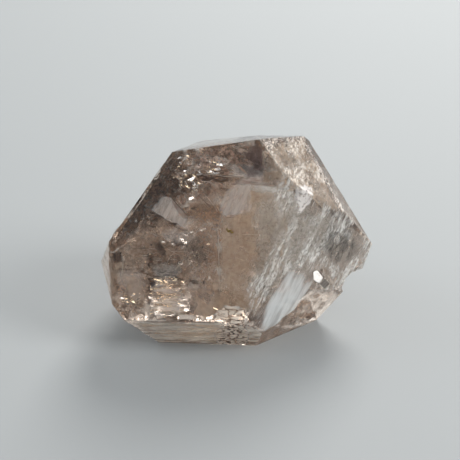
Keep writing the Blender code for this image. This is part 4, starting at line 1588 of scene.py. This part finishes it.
def thread(path, radius):
    """Places and faces of a tube: a ring across the path at each point, thinning to its ends."""
    along = np.gradient(path, axis=0)
    along /= np.linalg.norm(along, axis=1, keepdims=True)
    side = np.cross(along, ASKEW)
    side /= np.linalg.norm(side, axis=1, keepdims=True)
    over = np.cross(along, side)
    size = radius * np.sqrt(np.maximum(1 - np.linspace(-1, 1, len(path))**4, 0.0004))
    turn_at = np.arange(THREAD_SIDES) * 2 * math.pi / THREAD_SIDES
    ring = (side[:, None] * np.cos(turn_at)[:, None] + over[:, None] * np.sin(turn_at)[:, None])
    spots = (path[:, None] + ring * size[:, None, None]).reshape(-1, 3)
    i, j = next_round(len(spots) - THREAD_SIDES, THREAD_SIDES)
    walls = np.stack((i, j, j + THREAD_SIDES, i + THREAD_SIDES), 1)
    fan = np.arange(1, THREAD_SIDES - 1)
    start_cap = np.stack((fan * 0, fan + 1, fan), 1)
    end_cap = np.stack((fan * 0, fan, fan + 1), 1) + len(spots) - THREAD_SIDES
    return spots, np.concatenate((walls[:, (0, 1, 2)], walls[:, (0, 2, 3)], start_cap, end_cap))


def bundle(parts):
    """Several closed shapes as one: their faces are numbered on from shape to shape."""
    starts = np.cumsum([0] + [len(spots) for spots, _ in parts[:-1]])
    return (np.concatenate([spots for spots, _ in parts]),
            np.concatenate([faces + start for (_, faces), start in zip(parts, starts)]))


print("a thread has", THREAD_SIDES * THREAD_STEPS, "points")

# %% [markdown]
# ## Where the threads run
#
# The long threads have their own knots, in places where the eye finds them. Two sets of
# combs on the right face are the grooves of the etched end. Hair cracks are too many to
# place one by one, so they are thrown round a few middles, mostly level, every second one
# pale.

# %% Place the threads
DARK_THREADS = (  # radius, knots: across, up, depth under the front face
    (0.10, ((-12.0, 8.9, 1.2), (-10.0, 6.8, 1.2), (-8.0, 4.7, 1.2))),
    (0.09, ((-16.3, 5.8, 1.2), (-13.5, 4.3, 1.2), (-9.9, 2.1, 1.2), (-7.3, 2.1, 1.2))),
    (0.07, ((-15.7, 5.7, 1.1), (-12.8, 5.8, 1.1))),
    (0.08, ((-6.8, 10.4, 1.2), (-5.1, 8.7, 1.2), (-2.6, 6.4, 1.2))),
    (0.06, ((-21.1, -2.4, 1.1), (-16.7, -2.3, 1.1))),
    (0.07, ((-21.9, -8.0, 1.1), (-18.8, -7.9, 1.1))),
    (0.08, ((-4.9, -9.8, 1.1), (-4.1, -8.2, 1.1))),
)
PALE_THREADS = (
    (0.07, ((-1.9, 2.5, 3.2), (-1.6, -4, 3.2), (-1.1, -13.5, 3.2))),
    (0.08, ((-23.3, -3.0, 2), (-22.5, -5.8, 2), (-22.9, -9.0, 2), (-23.5, -10.6, 2))),
    (0.05, ((5.9, 19.0, 2.6), (6.0, 15.0, 2.6))),
    (0.06, ((-5.4, 10.2, 3), (-3.4, 8.0, 3), (-2.0, 6.0, 3))),
    (0.06, ((7.7, 1.7, 2), (7.7, -0.6, 2))),
    # From here to the end of the list the strokes on the crest are painted glints: pale marks where the crest
    # catches the light.
    (0.12, ((-10.5, 11.9, 1.8), (-9.9, 10.8, 1.8))),
    (0.13, ((-9.2, 12.6, 1.8), (-8.2, 10.8, 1.8))),
    (0.12, ((-6.6, 11.8, 1.8), (-5.3, 12.2, 1.8))),
    (0.10, ((-10.1, 18.3, 1.8), (-8.1, 17.5, 1.8))),
    (0.10, ((-3.3, 17.9, 2), (-2.9, 15.3, 2))),
    (0.05, ((-9, 19.2, 2), (-5.9, 15.7, 2), (-1.2, 13.9, 2), (3.8, 14.4, 2))),
    (0.05, ((-4.9, 19.7, 2), (-2.7, 17.5, 2), (1.0, 16.2, 2), (5.0, 16.4, 2))),
)
# radius, middle (across, up, depth), angle, length, gap between strokes, number of strokes
DARK_COMBS = ((0.15, (15.4, -10.8, 0.5), 36, 1.9, 0.62, 3), (0.06, (0.3, -9.2, 0.5), 40, 3.2, 0.62, 6))
PALE_COMBS = ((0.14, (15.4, -10.8, 0.5), 36, 2.0, 0.62, 4), (0.05, (0.4, -9.0, 0.5), 40, 2.6, 0.62, 5))
CRACKS = (  # radius, number, middle and spread (across, up, depth), length
    (0.045, 30, (-14.0, -2.0, 1.8), (10.0, 9.0, 0.9), 3.2),
    (0.040, 16, (-7.0, 13.0, 1.6), (8.0, 5.0, 0.7), 2.6),
    (0.035, 12, (3.0, -4.0, 3.4), (7.0, 14.0, 1.5), 2.4),
    (0.050, 20, (0.0, 2.0, 20.0), (22.0, 16.0, 12.0), 5.0),
)
CRACK_SEED = 91


def comb(middle, angle, length, gap, count):
    """Short strokes side by side on the right face: each is the middle, stepped sideways."""
    along = np.array((math.cos(math.radians(angle)), math.sin(math.radians(angle)), 0.0))
    side = np.array((-along[1], along[0], 0.0))
    shift = (np.arange(count) - (count - 1) / 2)[:, None] * gap * side + np.asarray(middle)
    return shift[:, None] + along * np.array((-0.5, 0.0, 0.5))[:, None] * length


def hair_cracks(count, middle, spread, length, seed):
    """Short wandering paths round a middle, mostly level: one row of knots each."""
    roll = dice(count, 8, seed)
    start = np.asarray(middle, float) + (roll[:, :3] + roll[:, 3:6] - 1) * np.asarray(spread, float)
    lean = math.radians(70) * (roll[:, 6] - 0.5) ** 3 * 8
    way = np.stack((np.cos(lean), np.sin(lean), 0.3 * np.sin(7 * lean)), 1)
    step = length * (0.4 + roll[:, 7])[:, None] * way
    bow = 0.18 * length * np.stack((-np.sin(lean), np.cos(lean), 0 * lean), 1) * (roll[:, :1] - 0.5)
    return start[:, None] + np.stack((-step / 2, bow, step / 2), 1)


for number_at, (radius, count, middle, spread, length) in enumerate(CRACKS):
    paths = hair_cracks(count, middle, spread, length, CRACK_SEED + number_at)
    found = tuple((radius, path) for path in paths)
    DARK_THREADS, PALE_THREADS = DARK_THREADS + found[::2], PALE_THREADS + found[1::2]
print("threads:", len(DARK_THREADS), "dark,", len(PALE_THREADS), "pale")

# %% [markdown]
# ## Draw the threads
#
# All the dark threads are one piece and all the pale ones another, so that the part keeps
# a short list of pieces. Their finish is a plain one, mottled a little, because nothing in
# a stone is one even colour.

# %% Draw the threads
DARK_THREAD, PALE_THREAD = (0.10, 0.065, 0.045), (0.98, 0.92, 0.84)
MOTTLE_GRAIN, MOTTLE_SHARE = 0.3, 0.6


def plain_finish(name, colour, roughness, metallic=0.0):
    """A solid grain or needle, with a darker mottle of its own colour."""
    material = bpy.data.materials.new(name)
    shader = shader_of(material)
    mottle = ramp_of(noise_of(stone_place(material.node_tree), MOTTLE_GRAIN), 0.35, 0.65)
    feed(shader.inputs["Base Color"], blend_of(mottle, tuple(MOTTLE_SHARE * v for v in colour), colour))
    shader.inputs["Roughness"].default_value = roughness
    shader.inputs["Metallic"].default_value = metallic
    return material


for name, threads, combs, finish in (
        ("dark_threads", DARK_THREADS, DARK_COMBS, plain_finish("dark_thread", DARK_THREAD, 0.5)),
        ("pale_threads", PALE_THREADS, PALE_COMBS, plain_finish("pale_thread", PALE_THREAD, 0.35))):
    runs = [("front", radius, knots) for radius, knots in threads]
    runs += [("right", radius, stroke) for radius, *strokes in combs for stroke in comb(*strokes)]
    shapes = [thread(keep_inside(on_face(face, *smooth_path(knots).T), 0.4), radius)
              for face, radius, knots in runs]
    made = make_piece(name, *bundle(shapes), finish)
    print(name + ":", len(shapes), "threads,", len(made.data.polygons), "faces")

# %% [markdown]
# ## Bright cracks
#
# Low on the right face one flat crack throws the window's light straight back, and a swarm
# of tiny ones does the same low on the left. Such a film is a plain mirror at this angle,
# so it is a plate with a metal finish, and it looks half way between the way to the window
# and the way to the camera, both bent by the glass.

# %% Set the bright cracks
FLAKE = dict(face="right", corners=((12.8, -7.5), (13.9, -7.2), (15.3, -9.4), (14.0, -10.5), (12.7, -9.4)),
             depth=1.0, tilt=(0.105, 0.30), bulge=0.03, ripple=0.02, ragged=0.02, spokes=60, rings=8, seed=93)
FLAKE_TONE, PLATE_TONE = (0.60, 0.59, 0.57), (0.94, 0.79, 0.57)
PLATE_SWARMS = (  # middle and spread (across, up, depth under the front), number of plates
    ((-13.0, -12.8, 1.0), (3.6, 4.8, 0.3), 250), ((-20.5, -13.6, 1.0), (3.0, 1.6, 0.3), 12),
    ((-8.0, 14.0, 1.0), (5.0, 4.0, 0.3), 12), ((-3.6, 17.0, 1.0), (3.0, 2.5, 0.3), 8),
    ((-10.0, -2.0, 1.0), (9.0, 7.0, 0.3), 7),
)
SPARKS = ((-8.6, 18.1), (-2.8, 16.9), (-2.7, 15.3), (-9.9, 11.8), (-8.5, 11.4), (-6.1, 12.3), (-7.2, 13.9),
          (-22.5, 2.3), (-20.1, -14.4), (-9.2, -9.5), (-2.0, -15.2), (-14.4, -9.4), (-12.9, -9.6))
SPARK_DEPTH = 1.0
PLATE = dict(size=0.31, lean=(0.28, 0.28), thick=0.04, seed=57, round_share=0.36, across=(0.0, 0.0, 1.0))
SPARK = dict(size=0.44, lean=(0.05, 0.05), thick=0.04, seed=58, round_share=0.36)
WINDOW_PLACE = LIGHTS["right_window"][0]


def half_way(places, face, target):
    """Unit vectors half way between the ways to the camera and to a target, both bent by a face.

    Bending divides the part of a unit vector that lies along the face by the index.
    """
    normal = PLANES[face][0]
    total = 0.0
    for end in (camera.location, target):
        way = np.array(end) / MM - places
        way /= np.linalg.norm(way, axis=1, keepdims=True)
        flat = (way - (way @ normal)[:, None] * normal) / QUARTZ_INDEX
        total = total + flat + normal * np.sqrt(1 - (flat**2).sum(1, keepdims=True))
    return total / np.linalg.norm(total, axis=1, keepdims=True)


lens_piece("bright_flake", plain_finish("bright_flake", FLAKE_TONE, 0.35, 1.0), **FLAKE)
shapes = [chips(spots, looking=half_way(spots, "front", WINDOW_PLACE), **shape) for spots, shape in (
    (swarm(PLATE_SWARMS, 56), PLATE), (in_front([(*place, SPARK_DEPTH) for place in SPARKS]), SPARK))]
plate_count = sum(len(spots) for spots, _ in shapes) // (2 * CHIP_SIDES)
make_piece("bright_plates", *bundle(shapes), plain_finish("bright_plate", PLATE_TONE, 0.27, 1.0),
           groups=flat_sides(plate_count))
print("bright plates:", plate_count)

# %% [markdown]
# ## Grains
#
# Dust and small crystals were caught as the quartz grew. Each is a little ball pushed in
# and out by a cloud, so no two are alike. A grain needs few faces, because it is small.

# %% Scatter the grains
BALL_RINGS, BALL_SPOKES, BALL_DENT = 7, 10, 0.35
GOLD_GRAINS = (  # place (across, up, depth under the front), half size
    ((0.5, 1.8, 3.6), (0.55, 0.3, 0.34)), ((1.1, 1.5, 3.8), (0.34, 0.3, 0.2)),
    ((0.1, 2.1, 3.9), (0.2, 0.2, 0.3)),
)
DARK_GRAINS = (
    ((-16.7, -6.0, 1.1), (0.28, 0.2, 0.6)), ((-12.7, -8.1, 1.1), (0.75, 0.4, 0.16)),
    ((-15.9, -10.3, 1.1), (0.6, 0.3, 0.42)), ((-4.6, -9.4, 1.1), (0.16, 0.2, 0.5)),
    ((-16.2, -1.5, 1.2), (0.2, 0.2, 0.3)), ((-7.0, -2.4, 1.2), (0.22, 0.2, 0.2)),
    ((-6.2, -3.4, 1.2), (0.3, 0.2, 0.16)), ((-5.0, -1.6, 1.3), (0.18, 0.2, 0.3)),
    ((-4.4, -4.4, 1.2), (0.24, 0.2, 0.16)), ((4.6, 0.2, 1.1), (0.16, 0.1, 0.14)),
    ((4.4, -0.8, 1.1), (0.14, 0.1, 0.14)),
)


def ball_of(rings, spokes):
    """Places and faces of a ball: sines and cosines on one grid, closed by a point at each pole."""
    down = np.linspace(0, math.pi, rings + 1)[1:-1]
    round_at = np.arange(spokes) * 2 * math.pi / spokes
    ball = np.stack((np.sin(down)[:, None] * np.cos(round_at), np.sin(down)[:, None] * np.sin(round_at),
                     np.repeat(np.cos(down)[:, None], spokes, 1)), -1).reshape(-1, 3)
    top = len(ball)
    i, j = next_round(top - spokes, spokes)
    tris = [np.stack((i, i + spokes, j + spokes), 1), np.stack((i, j + spokes, j), 1)]
    i, j = next_round(spokes, spokes)
    low = top - spokes
    tris += [np.stack((i * 0 + top, i, j), 1), np.stack((i * 0 + top + 1, low + j, low + i), 1)]
    return np.concatenate((ball, ((0, 0, 1), (0, 0, -1)))), np.concatenate(tris)


def grains(table, seed):
    """Balls under the front, each stretched by its size and dented by a cloud."""
    places, sizes = (np.array(part) for part in zip(*table))
    ball, tris = ball_of(BALL_RINGS, BALL_SPOKES)
    which = np.arange(len(places))[:, None, None]
    spots = ball[None] * sizes[:, None]
    spots = spots * (1 + BALL_DENT * cloud(ball[None] + 7.0 * which, 0.8, seed)[..., None])
    spots = spots + in_front(places)[:, None]
    return keep_inside(spots.reshape(-1, 3), 0.3), (tris[None] + len(ball) * which).reshape(-1, 3)


make_piece("gold_grain", *grains(GOLD_GRAINS, 41), plain_finish("gold_grain", (0.42, 0.31, 0.03), 0.3))
make_piece("dark_grains", *grains(DARK_GRAINS, 42), plain_finish("dark_grain", (0.06, 0.04, 0.035), 0.4))
print("grains:", len(GOLD_GRAINS), "gold,", len(DARK_GRAINS), "dark")
